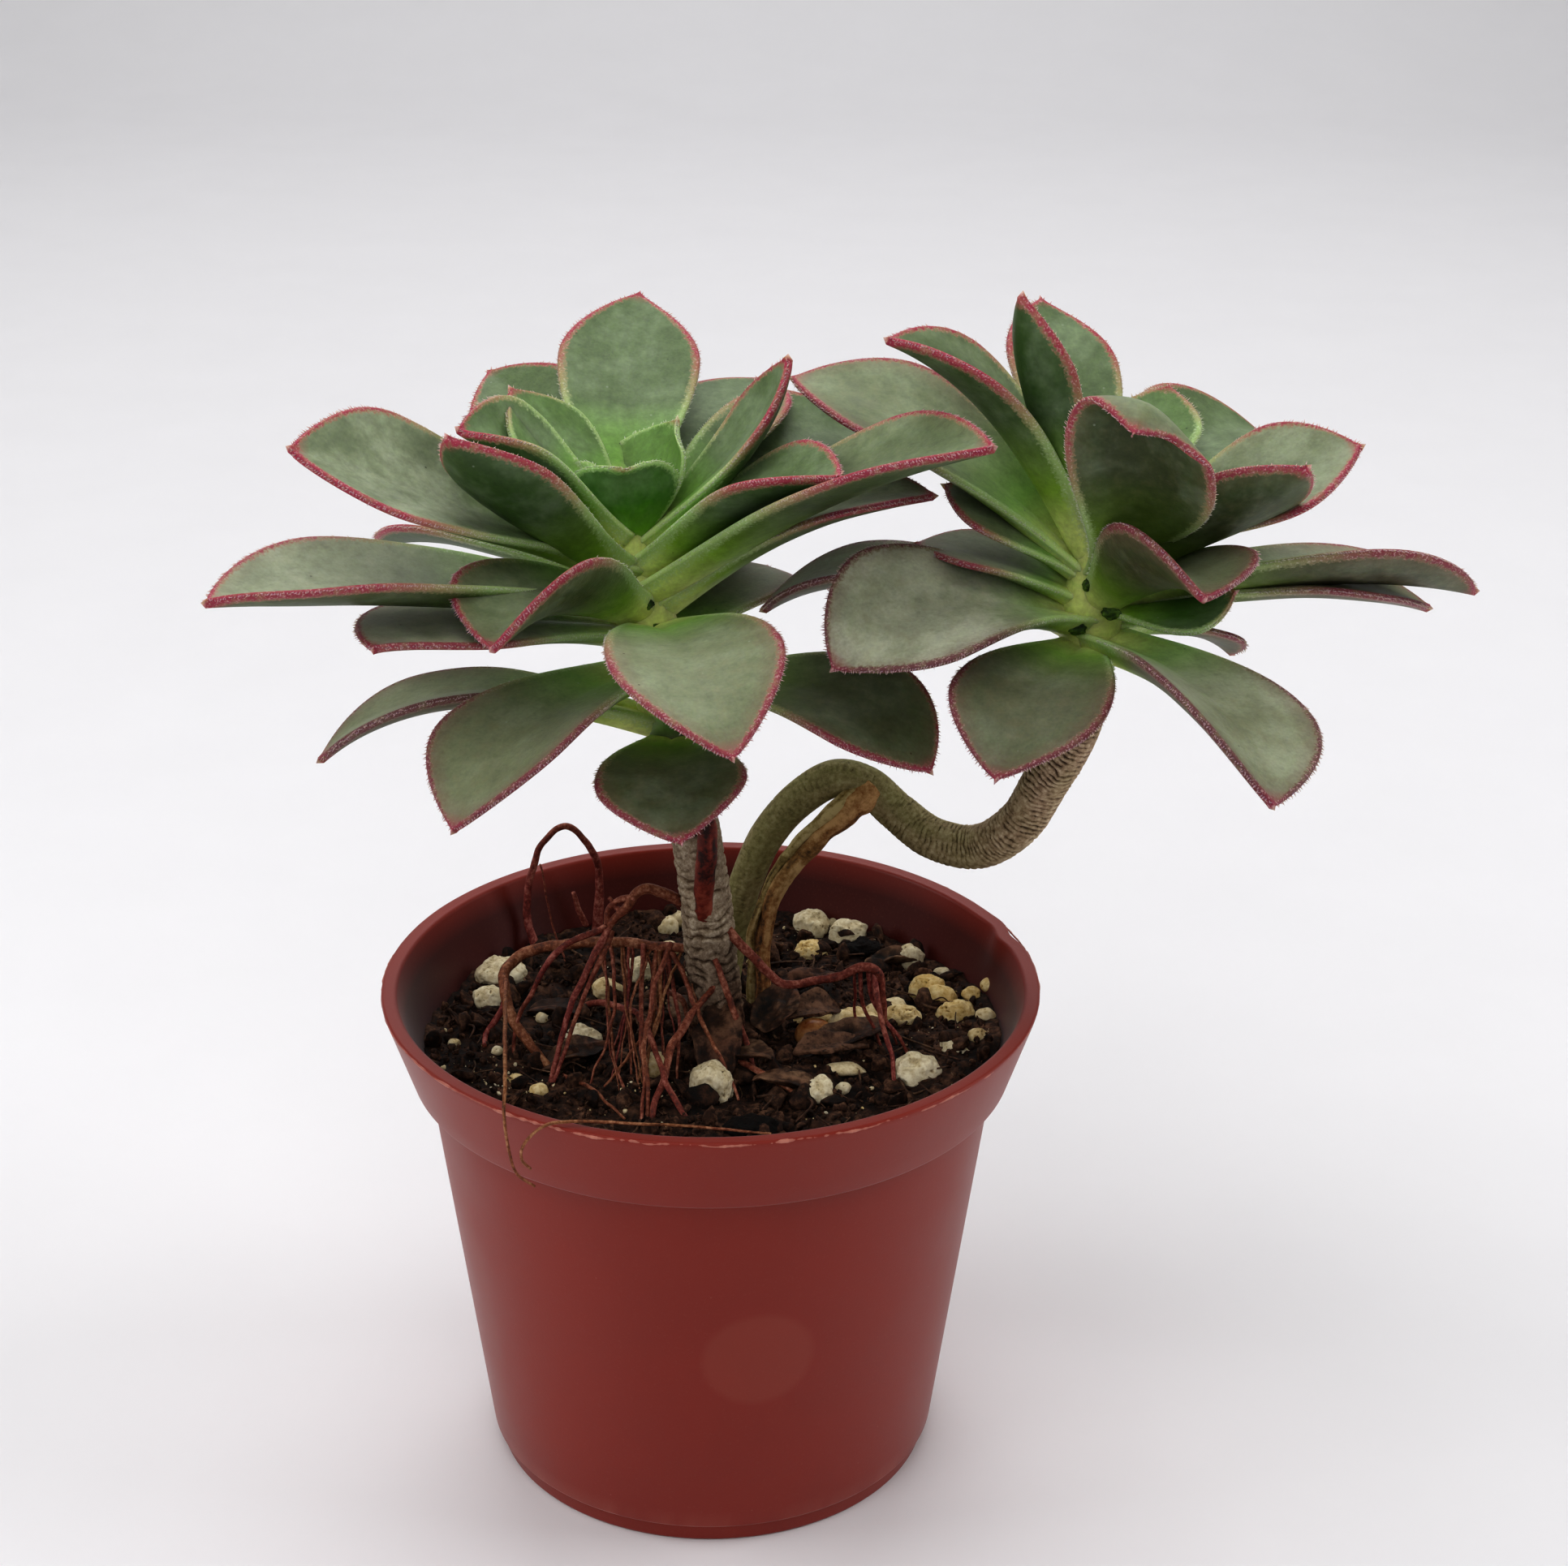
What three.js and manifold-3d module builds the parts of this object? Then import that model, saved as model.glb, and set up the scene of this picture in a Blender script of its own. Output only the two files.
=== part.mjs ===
// A potted aeonium: a hybrid succulent with two rosettes on bare stems, in a round plastic nursery pot.
// Millimetres, +Z up, origin at the centre of the pot's underside. The viewer of the front stands at -Y.
import * as THREE from "three";
import { mergeVertices } from "three/addons/utils/BufferGeometryUtils.js";
import Module from "manifold-3d";

const wasm = await Module();
wasm.setup();

// ---------------------------------------------------------------- driving dimensions

const POT_TOP_RADIUS = 42.5; // the 8.5 cm nursery size
const POT_HEIGHT = 66.9;
const POT_LIP = 2; // width of the rolled lip seen from above
const LIP_DEPTH = 0.9; // the lip's flare starts this far below the top
const LIP_ROUND = 0.4; // how far the lip's top edges are rounded off
const POT_SIDES = 48;
const FOOT_RADIUS = 28.9;
const FOOT_STEP_HEIGHT = 2.8;
const FOOT_STEP = 1; // the body starts this much further out than the foot
const COLLAR_BOTTOM = 55.8; // underside of the band below the rim
const COLLAR_RADIUS = 38.9; // the band's radius at that height
const COLLAR_WALL = 1.7; // the band is thicker than the wall below it
const BODY_TOP_RADIUS = 36.85;
const POT_WALL = 1.1;
const STEP_BOTTOM = 55.4; // inside, the wall widens between these two heights
const STEP_TOP = 57.1;
const DRAFT = 0.2; // slope left on the short steps so that the pot leaves its mould
const FLOOR_THICKNESS = 2;
const FLOOR_RADIUS = 27.9;
const DRAIN_HOLES = 6;
const DRAIN_RADIUS = 3.2;
const DRAIN_CIRCLE = 20;

const GAP = 0.3; // clearance where separate pieces meet
const HOLE_GAP = 0.4; // clearance round what stands in the soil
const SOIL_TOP = 57.9;
const SOIL_SIDES = 32;
const SOIL_RINGS = [1, 0.86, 0.7, 0.54, 0.38, 0.2]; // of the mounded top, as shares of its radius

const LEAF_WIDEST = 0.68; // where along its length a leaf is widest
const LEAF_NECK = 0.3; // petiole width as a share of the leaf's width
const LEAF_EDGE = 0.7; // thickness at the margins
const PETIOLE_THICKNESS = 2.9;
const TIP_THICKNESS = 1;

const BARE_STEM_SIDES = 9;
const MAIN_STEM_RINGS = 22;
const SIDE_STEM_RINGS = 33;
const SHOOT_RINGS = 6;
const MAIN_STEM_RIBS = 0.25; // height of the bark's growth rings
const SIDE_STEM_RIBS = 0.15;
const ROOT_SIDES = 5;

const GRAIN_CORNERS = [0.94, 1.2]; // how far a grain's corners reach, as shares of its half size
const GRAIN_PROUD = 0.14; // how far a grain's middle stands above the soil, as a share of its height

// ---------------------------------------------------------------- materials

const finish = (color, roughness) => new THREE.MeshStandardMaterial({ color, roughness, metalness: 0 });
const POT_PLASTIC = finish(0x9a4a3c, 0.45);
const PEAT = finish(0x2b211b, 0.95);
const BARK = finish(0x8d7f6b, 0.9);
const OLIVE_BARK = finish(0x75704f, 0.8);
const LEAF_GREEN = finish(0x6d8a68, 0.5);
const ROOT_BROWN = finish(0x6b3a2c, 0.8);
const DEAD_LEAF = finish(0x4a3226, 0.85);
const PUMICE = finish(0xd8d2c4, 0.95);

// ---------------------------------------------------------------- closed meshes and solids

// Turns a closed geometry into a solid whose faces point outwards.
function solidOf(geometry) {
  const bare = geometry.clone();
  bare.deleteAttribute("normal");
  bare.deleteAttribute("uv");
  const merged = mergeVertices(bare, 1e-4);
  const build = (triVerts) =>
    new wasm.Manifold(
      new wasm.Mesh({ numProp: 3, vertProperties: merged.attributes.position.array, triVerts }),
    );
  const triangles = new Uint32Array(merged.index.array);
  const solid = build(triangles);
  return solid.volume() > 0 ? solid : build(triangles.slice().reverse());
}

// Turns a solid back into a geometry that three.js can draw.
function geometryOf(solid) {
  const mesh = solid.getMesh();
  const geometry = new THREE.BufferGeometry();
  geometry.setAttribute("position", new THREE.BufferAttribute(new Float32Array(mesh.vertProperties), 3));
  geometry.setIndex(new THREE.BufferAttribute(new Uint32Array(mesh.triVerts), 1));
  const faceted = geometry.toNonIndexed();
  faceted.computeVertexNormals();
  return faceted;
}

const fuse = (solids) => solids.reduce((joined, solid) => joined.add(solid));

// Keeps the largest body of a solid and drops loose scraps that a join can leave.
function largestBody(solid) {
  const bodies = solid.decompose();
  return bodies.reduce((best, body) => (body.volume() > best.volume() ? body : best));
}

// Skins a row of rings, each with the same number of points, and closes both ends with a fan.
function loft(rings) {
  const sides = rings[0].length;
  const middle = (ring) => ring.reduce((sum, p) => sum.add(p), new THREE.Vector3()).divideScalar(sides);
  const points = [...rings.flat(), middle(rings[0]), middle(rings[rings.length - 1])];
  const firstMiddle = points.length - 2;
  const lastMiddle = points.length - 1;
  const faces = [];
  for (let i = 0; i + 1 < rings.length; i += 1) {
    for (let j = 0; j < sides; j += 1) {
      const a = i * sides + j;
      const b = i * sides + ((j + 1) % sides);
      faces.push(a, b, b + sides, a, b + sides, a + sides);
    }
  }
  const lastRing = (rings.length - 1) * sides;
  for (let j = 0; j < sides; j += 1) {
    const next = (j + 1) % sides;
    faces.push(firstMiddle, next, j);
    faces.push(lastMiddle, lastRing + j, lastRing + next);
  }
  const geometry = new THREE.BufferGeometry().setFromPoints(points);
  geometry.setIndex(faces);
  return geometry;
}

const circle = (radius, height, sides) =>
  Array.from({ length: sides }, (_, j) => {
    const turn = (2 * Math.PI * j) / sides;
    return new THREE.Vector3(radius * Math.cos(turn), radius * Math.sin(turn), height);
  });

// A stem: a round limb through the given points, with its own radius at each point.
// The bark's growth rings make every second section a little fatter, by `ribs` millimetres.
function limb({ route, radii }, steps, ribs = 0, swell = 0) {
  const curve = new THREE.CatmullRomCurve3(route.map((p) => new THREE.Vector3(...p)));
  const frames = curve.computeFrenetFrames(steps, false);
  const rings = [];
  for (let i = 0; i <= steps; i += 1) {
    const along = (i / steps) * (radii.length - 1);
    const k = Math.min(Math.floor(along), radii.length - 2);
    const radius = THREE.MathUtils.lerp(radii[k], radii[k + 1], along - k) + (i % 2) * ribs + swell;
    const centre = curve.getPointAt(i / steps);
    rings.push(
      Array.from({ length: BARE_STEM_SIDES }, (_, j) => {
        const turn = (2 * Math.PI * j) / BARE_STEM_SIDES;
        return centre
          .clone()
          .addScaledVector(frames.normals[i], radius * Math.cos(turn))
          .addScaledVector(frames.binormals[i], radius * Math.sin(turn));
      }),
    );
  }
  return solidOf(loft(rings));
}

// An aerial root: a thin round strand of one radius along a smooth curve.
function strand({ route, radius }, swell = 0) {
  const curve = new THREE.CatmullRomCurve3(route.map((p) => new THREE.Vector3(...p)));
  const section = new THREE.Shape(
    Array.from({ length: ROOT_SIDES }, (_, j) => {
      const turn = (2 * Math.PI * j) / ROOT_SIDES;
      return new THREE.Vector2((radius + swell) * Math.cos(turn), (radius + swell) * Math.sin(turn));
    }),
  );
  const steps = Math.round(1.4 * (route.length - 1));
  return solidOf(new THREE.ExtrudeGeometry(section, { steps, bevelEnabled: false, extrudePath: curve }));
}

// ---------------------------------------------------------------- leaves

const radians = THREE.MathUtils.degToRad;
const LEAF_STATIONS = [0, 0.14, 0.32, 0.5, 0.66, 0.8, 0.92, 1];
const UP = new THREE.Vector3(0, 0, 1);

// A leaf's half-width at t, as a share of its greatest half-width: a slim petiole that widens into a
// spoon-shaped blade with a short point.
function leafOutline(t) {
  if (t < LEAF_WIDEST) {
    const u = t / LEAF_WIDEST;
    return LEAF_NECK + (1 - LEAF_NECK) * u * u * (3 - 2 * u);
  }
  const v = (t - LEAF_WIDEST) / (1 - LEAF_WIDEST);
  return Math.max(Math.cos((Math.PI / 2) * v) ** 0.85, 0.07);
}

// One fleshy leaf. It leaves the stem at `root` towards `heading` at `rise` above the horizontal.
// `droop` bends it down towards its tip, `sweep` bends it sideways, `roll` twists it about its own
// length, and `cup` lifts its margins into a channel. Angles are in degrees.
function leaf(root, { heading, rise, length, width, droop = 0, cup = 0.2, roll = 0, sweep = 0 }) {
  const outward = new THREE.Vector3(Math.cos(radians(heading)), Math.sin(radians(heading)), 0);
  const sideways = new THREE.Vector3(-outward.y, outward.x, 0);
  const direction = (t) => {
    const pitch = radians(rise - droop * t * t);
    const turn = radians(sweep) * t ** 1.5;
    return outward
      .clone()
      .multiplyScalar(Math.cos(pitch) * Math.cos(turn))
      .addScaledVector(UP, Math.sin(pitch))
      .addScaledVector(sideways, Math.cos(pitch) * Math.sin(turn));
  };
  const fleshiness = Math.min(1, length / 28);
  const centre = root.clone();
  const rings = LEAF_STATIONS.map((t, i) => {
    if (i > 0) {
      const last = LEAF_STATIONS[i - 1];
      centre.addScaledVector(direction((t + last) / 2), (t - last) * length);
    }
    const forward = direction(t);
    const across = new THREE.Vector3().crossVectors(UP, forward).normalize();
    const above = new THREE.Vector3().crossVectors(forward, across);
    const twist = radians(roll) * t ** 0.7;
    const side = across.clone().multiplyScalar(Math.cos(twist)).addScaledVector(above, Math.sin(twist));
    const top = above.clone().multiplyScalar(Math.cos(twist)).addScaledVector(across, -Math.sin(twist));
    const half = (width / 2) * leafOutline(t);
    const thick = fleshiness * THREE.MathUtils.lerp(PETIOLE_THICKNESS, TIP_THICKNESS, t);
    const edge = Math.min(LEAF_EDGE, thick);
    const at = (v, depth) =>
      centre
        .clone()
        .addScaledVector(side, half * v * Math.sqrt(Math.max(0.15, 1 - 0.6 * (cup * v) ** 2)))
        .addScaledVector(top, half * cup * Math.abs(v) ** 1.6 - depth);
    return [at(1, 0), at(0, 0), at(-1, 0), at(-1, edge), at(0, thick), at(1, edge)];
  });
  return solidOf(loft(rings));
}

// A rosette: a green shoot with leaves set on it at their own heights, from the oldest at the bottom
// to the youngest at the growing point.
function rosette({ foot, crown, shootRadii, leaves }) {
  const base = new THREE.Vector3(...foot);
  const tip = new THREE.Vector3(...crown);
  const onShoot = (height) => base.clone().lerp(tip, (height - base.z) / (tip.z - base.z));
  const route = [foot, onShoot((base.z + tip.z) / 2).toArray(), crown];
  const shoot = limb({ route, radii: shootRadii }, SHOOT_RINGS);
  return largestBody(fuse([shoot, ...leaves.map((each) => leaf(onShoot(each.height), each))]));
}

// Headings turn from +X towards +Y, away from the viewer; 270 points at the viewer.
const LEFT_LEAVES = [
  // the lowest leaves, far apart on the stem
  { height: 101, heading: 268, rise: 12, length: 31, width: 18, droop: 42, cup: 0.1, roll: 4, sweep: 15 },
  { height: 103, heading: 189, rise: 18, length: 46, width: 16, droop: 62, cup: 0.2, roll: 12, sweep: 8 },
  { height: 107, heading: 345, rise: 12, length: 38, width: 19, droop: 60, cup: 0.15, roll: 11, sweep: -20 },
  { height: 110.5, heading: 232, rise: 2, length: 40, width: 21, droop: 48, cup: 0.25, roll: 10, sweep: 3 },
  { height: 112, heading: 62, rise: 14, length: 30, width: 17, droop: 30, cup: 0.1 },
  { height: 113, heading: 112, rise: 10, length: 40, width: 18, droop: 30, cup: 0.15 },
  // the spreading outer leaves
  { height: 115.3, heading: 281, rise: 19, length: 48, width: 20, droop: 52, cup: 0.25, roll: 8, sweep: 8 },
  { height: 115, heading: 200, rise: 12, length: 41, width: 20, droop: 8, cup: 0.05, sweep: 48 },
  { height: 116, heading: 80, rise: 14, length: 42, width: 19, droop: 26, cup: 0.15 },
  { height: 117.5, heading: 4, rise: 36, length: 39, width: 17, droop: 41, cup: 0.25, roll: 3, sweep: -3 },
  { height: 118, heading: 231, rise: 23, length: 32, width: 20, droop: 46, cup: 0.55, roll: 17, sweep: 18 },
  { height: 119, heading: 203, rise: 11, length: 56, width: 21, droop: 5, cup: 0.36, sweep: 17 },
  { height: 120, heading: 338, rise: 35, length: 52, width: 20, droop: 20, cup: 0.34, roll: 10, sweep: -8 },
  { height: 121, heading: 147, rise: 7, length: 42, width: 17, droop: 32, cup: 0.2, roll: 12 },
  // the rising inner leaves
  { height: 123, heading: 200, rise: 25, length: 46, width: 22, droop: -2, cup: 0.28, roll: -28, sweep: 9 },
  { height: 123.2, heading: 228, rise: 30, length: 36, width: 15, droop: -25, cup: 0.3, roll: 22, sweep: -7 },
  { height: 123.2, heading: 337, rise: 36, length: 33, width: 16, droop: 20, cup: 0.45, roll: 8, sweep: -17 },
  { height: 123.8, heading: 44, rise: 25, length: 42, width: 19, droop: 40, cup: 0.26, roll: 20 },
  { height: 124.8, heading: 66, rise: 25, length: 40, width: 19, droop: 21, cup: 0.18, roll: -5 },
  { height: 124.8, heading: 121, rise: 28, length: 38, width: 17, droop: 17, cup: 0.17, roll: -24, sweep: 7 },
  { height: 125.8, heading: 11, rise: 36, length: 30, width: 13, droop: -40, cup: 0.26 },
  { height: 127.5, heading: 94, rise: 28, length: 42, width: 18, droop: -2, cup: 0.18, roll: 6, sweep: -11 },
  { height: 126, heading: 172, rise: 22, length: 24, width: 14, droop: -14, cup: 0.3, roll: 16 },
  { height: 128, heading: 138, rise: 17, length: 28, width: 18, droop: -24, cup: 0.22, roll: 5, sweep: -25 },
  // the youngest leaves round the growing point
  { height: 125.8, heading: 278, rise: 71, length: 11.5, width: 14.5, droop: -15, cup: 0.42 },
  { height: 128.4, heading: 70, rise: 22, length: 18.5, width: 13, droop: -17, cup: 0.28, roll: -18 },
  { height: 129, heading: 165, rise: 34, length: 10, width: 8, cup: 0.4 },
  { height: 130, heading: 30, rise: 50, length: 7, width: 5, cup: 0.4 },
  { height: 130.5, heading: 250, rise: 60, length: 5, width: 4.5, cup: 0.4 },
];
const LEFT_ROSETTE = {
  foot: [-4, 0, 98],
  crown: [-11, 0, 131],
  shootRadii: [3.3, 3.9, 2],
  leaves: LEFT_LEAVES,
};

const RIGHT_LEAVES = [
  // the lowest leaves
  { height: 113.6, heading: 249, rise: 8, length: 35, width: 19, droop: 54, cup: 0.18, roll: -6, sweep: -7 },
  { height: 114.7, heading: 301, rise: 4, length: 45, width: 22, droop: 33, cup: 0.28, roll: -26, sweep: -20 },
  { height: 113, heading: 80, rise: 4, length: 38, width: 18, droop: 26, cup: 0.15 },
  { height: 115, heading: 128, rise: 6, length: 38, width: 17, droop: 34, cup: 0.15 },
  { height: 116, heading: 28, rise: -4, length: 24, width: 15, droop: 46, cup: 0.15 },
  { height: 116.3, heading: 173, rise: 19, length: 43, width: 18, droop: 60, cup: 0.2, roll: 7 },
  { height: 116.8, heading: 208, rise: 18, length: 38, width: 22, droop: 57, cup: 0.24, roll: -25 },
  // the spreading outer leaves
  { height: 118.4, heading: 326, rise: 12, length: 21, width: 17, droop: -9, cup: 0.2, roll: -24 },
  { height: 119, heading: 12, rise: 5, length: 45, width: 16, droop: 30, cup: 0.2 },
  { height: 119, heading: 171, rise: 23, length: 23, width: 17, droop: 23, cup: 0.1, roll: 6 },
  { height: 119.5, heading: 300, rise: 31, length: 30, width: 18.5, droop: 38, cup: 0.52, roll: -21, sweep: -22 },
  { height: 120.5, heading: 4, rise: 6, length: 49, width: 17.5, droop: 25, cup: 0.36, roll: -23, sweep: 9 },
  { height: 120, heading: 62, rise: 14, length: 40, width: 18, droop: 24, cup: 0.15 },
  { height: 121, heading: 105, rise: 16, length: 40, width: 18, droop: 26, cup: 0.15 },
  { height: 121.6, heading: 160, rise: 33, length: 22, width: 15, droop: 19, cup: 0.14, roll: -10 },
  { height: 122.6, heading: 156, rise: 37, length: 46, width: 19.5, droop: 34, cup: 0.22, roll: -12 },
  // the rising inner leaves
  { height: 123.2, heading: 319, rise: 29, length: 34, width: 16, droop: -14, cup: 0.2, roll: -32 },
  { height: 124.2, heading: 354, rise: 28, length: 34, width: 18.5, droop: 3, cup: 0.2, roll: 25, sweep: 4 },
  { height: 125.2, heading: 183, rise: 59, length: 39, width: 16, droop: 39, cup: 0.43, roll: -5, sweep: 11 },
  { height: 122.6, heading: 277, rise: 40, length: 35, width: 22.5, droop: -28, cup: 0.47, roll: -38, sweep: -20 },
  { height: 127.3, heading: 48, rise: 28, length: 34, width: 20, droop: 51, cup: 0.3, roll: 14, sweep: -4 },
  { height: 127.3, heading: 202, rise: 61, length: 33, width: 12, droop: -25, cup: 0.45, roll: 10 },
  { height: 128.3, heading: 103, rise: 36, length: 36, width: 15, cup: 0.25, roll: 12, sweep: -3 },
  // the youngest leaves round the growing point
  { height: 129.4, heading: 59, rise: 25, length: 23, width: 13, droop: -18, cup: 0.19, sweep: 7 },
  { height: 129, heading: 290, rise: 66, length: 12, width: 9, droop: -12, cup: 0.45 },
  { height: 130, heading: 150, rise: 55, length: 9, width: 7, cup: 0.4 },
  { height: 130.5, heading: 20, rise: 60, length: 6, width: 5, cup: 0.4 },
];
const RIGHT_ROSETTE = {
  foot: [46.4, 1, 106.7],
  crown: [47.6, 0, 131],
  shootRadii: [3.1, 3.9, 2],
  leaves: RIGHT_LEAVES,
};

// ---------------------------------------------------------------- stems and aerial roots

// The main stem stands in the middle of the pot, its root end buried in the soil.
const MAIN_STEM = {
  route: [
    [1.4, 0, 28],
    [0.9, 0, 56],
    [0.2, 0, 67],
    [-0.8, 0, 79],
    [-2.4, 0, 90],
    [-3.9, 0, 97.7],
  ],
  radii: [2.6, 3.7, 3.8, 3.4, 3.2, 3.2],
};

// A dried leaf stalk runs up the front of the main stem.
const STALK = {
  route: [
    [-1, -1.6, 75],
    [-0.8, -3.2, 81],
    [-0.4, -4, 86],
    [-0.4, -4, 92],
  ],
  radius: 1.2,
};

// The side stem leaves the soil behind the main stem, rises, dips and climbs to the second rosette.
const SIDE_STEM = {
  route: [
    [1.5, 14, 30],
    [1.1, 14, 57],
    [2.7, 14, 67.5],
    [4.3, 14, 74],
    [7, 14, 80.6],
    [11.2, 14, 86],
    [16, 14, 89],
    [20, 14, 88],
    [24, 13, 84.7],
    [28.8, 11, 81.8],
    [34.5, 9, 81.6],
    [39.4, 6, 86.3],
    [42.6, 4, 93.4],
    [45.2, 2, 99.8],
    [46.2, 1.2, 103.6],
    [46.4, 1, 106],
  ],
  radii: [1.8, 2.1, 2.2, 2.2, 2.4, 2.6, 2.9, 3, 3],
};

// A dead, woody root hangs from the side stem's bend down into the pot.
const WOODY_ROOT = {
  route: [
    [19.6, 13, 88],
    [17.5, 11, 85.5],
    [13.9, 10.3, 82.3],
    [11.8, 10, 79.9],
    [8.7, 9.5, 75.7],
    [6.8, 8.4, 69],
    [6.6, 7.6, 62],
    [6.6, 7.4, 54],
  ],
  radius: 1.3,
};

// Aerial roots that grow from the main stem: the first hangs over the rim and down outside the pot.
const STEM_ROOTS = [
  {
    radius: 0.7,
    route: [
      [-1.6, 0, 76],
      [-6.3, -1, 80],
      [-8.8, -1.5, 80.2],
      [-11.4, -2, 77],
      [-13.6, -2, 74],
      [-19.2, -4.2, 70.5],
      [-23.3, -16.6, 70],
      [-24.2, -27.1, 70],
      [-23.6, -33, 69],
      [-23.4, -37.4, 67],
      [-22.8, -38, 63.5],
      [-21.8, -38.6, 60.5],
      [-19.9, -39.3, 59],
    ],
  },
  {
    radius: 0.6,
    route: [
      [-13, -2, 74.8],
      [-15.9, -7, 72.5],
      [-17.8, -10, 70],
      [-18.6, -13.9, 64],
      [-19.5, -18, 57],
      [-19.8, -19, 53],
    ],
  },
  {
    radius: 0.9,
    route: [
      [-0.5, 0, 71],
      [-12.3, 2, 70.9],
      [-19.8, 4, 69.3],
      [-25.2, 5, 67.2],
      [-26.9, 2, 66],
      [-26.2, -3, 64],
      [-24.4, -6, 62],
      [-21.1, -8, 58.6],
      [-19, -9.2, 54],
    ],
  },
  {
    radius: 0.7,
    route: [
      [0.5, 0, 76],
      [5.1, -2, 71.3],
      [9.4, -2.6, 67.2],
      [13.7, -3.1, 67.9],
      [19.4, -3.5, 70.3],
      [21.8, -4, 67.5],
      [24.5, -4.5, 60.5],
      [25.8, -4.9, 57],
      [26, -5, 53],
    ],
  },
  {
    radius: 0.7,
    route: [
      [1, 0, 69],
      [3.1, -5.1, 63.5],
      [4.9, -9.4, 60],
      [6, -11.3, 57],
      [6.4, -12, 53],
    ],
  },
  {
    radius: 0.6,
    route: [
      [0, 0, 67],
      [-2.4, -4.6, 63.4],
      [-4.8, -8.6, 60.6],
      [-6.5, -13.2, 57],
      [-6.9, -14.2, 53],
    ],
  },
];

// Two roots that show only as loops: both ends go down into the soil.
const ROOT_LOOPS = {
  root_loop_back: {
    radius: 0.6,
    route: [
      [-24, 24.4, 53],
      [-24.6, 25, 57.4],
      [-26, 26.6, 62.1],
      [-25.4, 27.5, 68.7],
      [-23.9, 28, 72.8],
      [-20.7, 29, 75.1],
      [-17.7, 30, 71.9],
      [-16.2, 31, 66.5],
      [-16.6, 31, 62.3],
      [-17, 30.6, 57.4],
      [-17, 30.2, 53],
    ],
  },
  root_loop_front: {
    radius: 0.6,
    route: [
      [-17.4, 10.6, 53],
      [-17.2, 9.8, 57],
      [-12.3, 1, 62],
      [-9, -5.4, 64],
      [-5.4, -17, 61],
      [-2.6, -20.6, 57],
      [-2.2, -21.4, 53],
    ],
  },
};

// ---------------------------------------------------------------- grit, lumps and dead leaves

// Grains of pumice on the soil: centre across and back, then the size of each way.
const PUMICE_GRAINS = [
  { x: -29, y: 16.4, size: [5.6, 4.8, 3.8] },
  { x: -30, y: 9.8, size: [3.6, 3.2, 2.8] },
  { x: -16.9, y: -1.6, size: [4.4, 4, 2.8] },
  { x: 0.4, y: -13.4, size: [4.8, 5.4, 5.4] },
  { x: 13.3, y: 32.4, size: [4.4, 4, 3.2] },
  { x: 18.4, y: 29, size: [4.8, 3.8, 3.2] },
  { x: 26.8, y: 21.6, size: [3, 3.2, 4] },
  { x: 13, y: 24.6, size: [4, 3.4, 3] },
  { x: 29.2, y: 12.4, size: [4.4, 3.6, 3.8] },
  { x: 32.4, y: 6.4, size: [3.8, 3.4, 3.4] },
  { x: 25.2, y: 5, size: [3.6, 3, 3] },
  { x: 18.8, y: 4.6, size: [5.4, 3.6, 2.4] },
  { x: 26.4, y: -9.6, size: [5, 4.2, 3.8] },
  { x: 31.6, y: -3.4, size: [3.8, 3.2, 2.8] },
  { x: 13.6, y: -14.4, size: [3.6, 3.2, 2.8] },
  { x: -10.4, y: 17.6, size: [3.6, 3.4, 3.2] },
];

// Clods of dark peat that stand proud of the surface.
const PEAT_LUMPS = [
  { x: 20.4, y: 24.4, size: [7.4, 3.6, 3] },
  { x: 5.6, y: -24.4, size: [8, 5, 4.6] },
];

// Withered leaves that have dropped on the soil.
const DEAD_LEAVES = [
  { root: [8.4, 2, 59.8], heading: 18, rise: 10, length: 9, width: 6, droop: 30, cup: 0.5, roll: 20 },
  { root: [21, -4, 59.6], heading: 200, rise: 12, length: 11, width: 5, droop: 34, cup: 0.4, roll: -18 },
];

// A small steady stream of numbers from 0 to 1, the same on every run.
function seeded(seed) {
  let state = seed;
  return () => {
    state = (state * 1664525 + 1013904223) % 4294967296;
    return state / 4294967296;
  };
}

// How high the soil stands at a place: low mounds, a little higher towards the back.
function soilHeight(x, y) {
  const mounds = 0.35 * Math.sin(0.31 * x + 1.2) * Math.cos(0.27 * y - 0.4);
  const crumbs = 0.25 * Math.sin(0.9 * x - 0.5 * y) * Math.cos(0.7 * y + 0.6 * x);
  return SOIL_TOP + mounds + crumbs + 0.004 * y;
}

// An angular grain, seated about half-way into the soil. `swell` enlarges it to make its hollow.
function grain({ x, y, size }, seed, swell = 0) {
  const random = seeded(seed);
  const geometry = new THREE.DodecahedronGeometry(1, 0);
  geometry.deleteAttribute("normal");
  geometry.deleteAttribute("uv");
  const angular = mergeVertices(geometry, 1e-4);
  const corners = angular.getAttribute("position");
  for (let i = 0; i < corners.count; i += 1) {
    const stretch = THREE.MathUtils.lerp(...GRAIN_CORNERS, random());
    corners.setXYZ(i, corners.getX(i) * stretch, corners.getY(i) * stretch, corners.getZ(i) * stretch);
  }
  const turned = angular.rotateX(random() * 3).rotateZ(random() * 3);
  turned.scale(size[0] / 2 + swell, size[1] / 2 + swell, size[2] / 2 + swell);
  turned.translate(x, y, soilHeight(x, y) + size[2] * GRAIN_PROUD);
  return solidOf(turned);
}

// ---------------------------------------------------------------- pot and soil

// Turns a profile of [radius, height] points about the pot's axis.
function turned(profile, sides) {
  const points = profile.map(([radius, height]) => new THREE.Vector2(radius, height));
  return solidOf(new THREE.LatheGeometry(points, sides).rotateX(Math.PI / 2));
}

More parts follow.
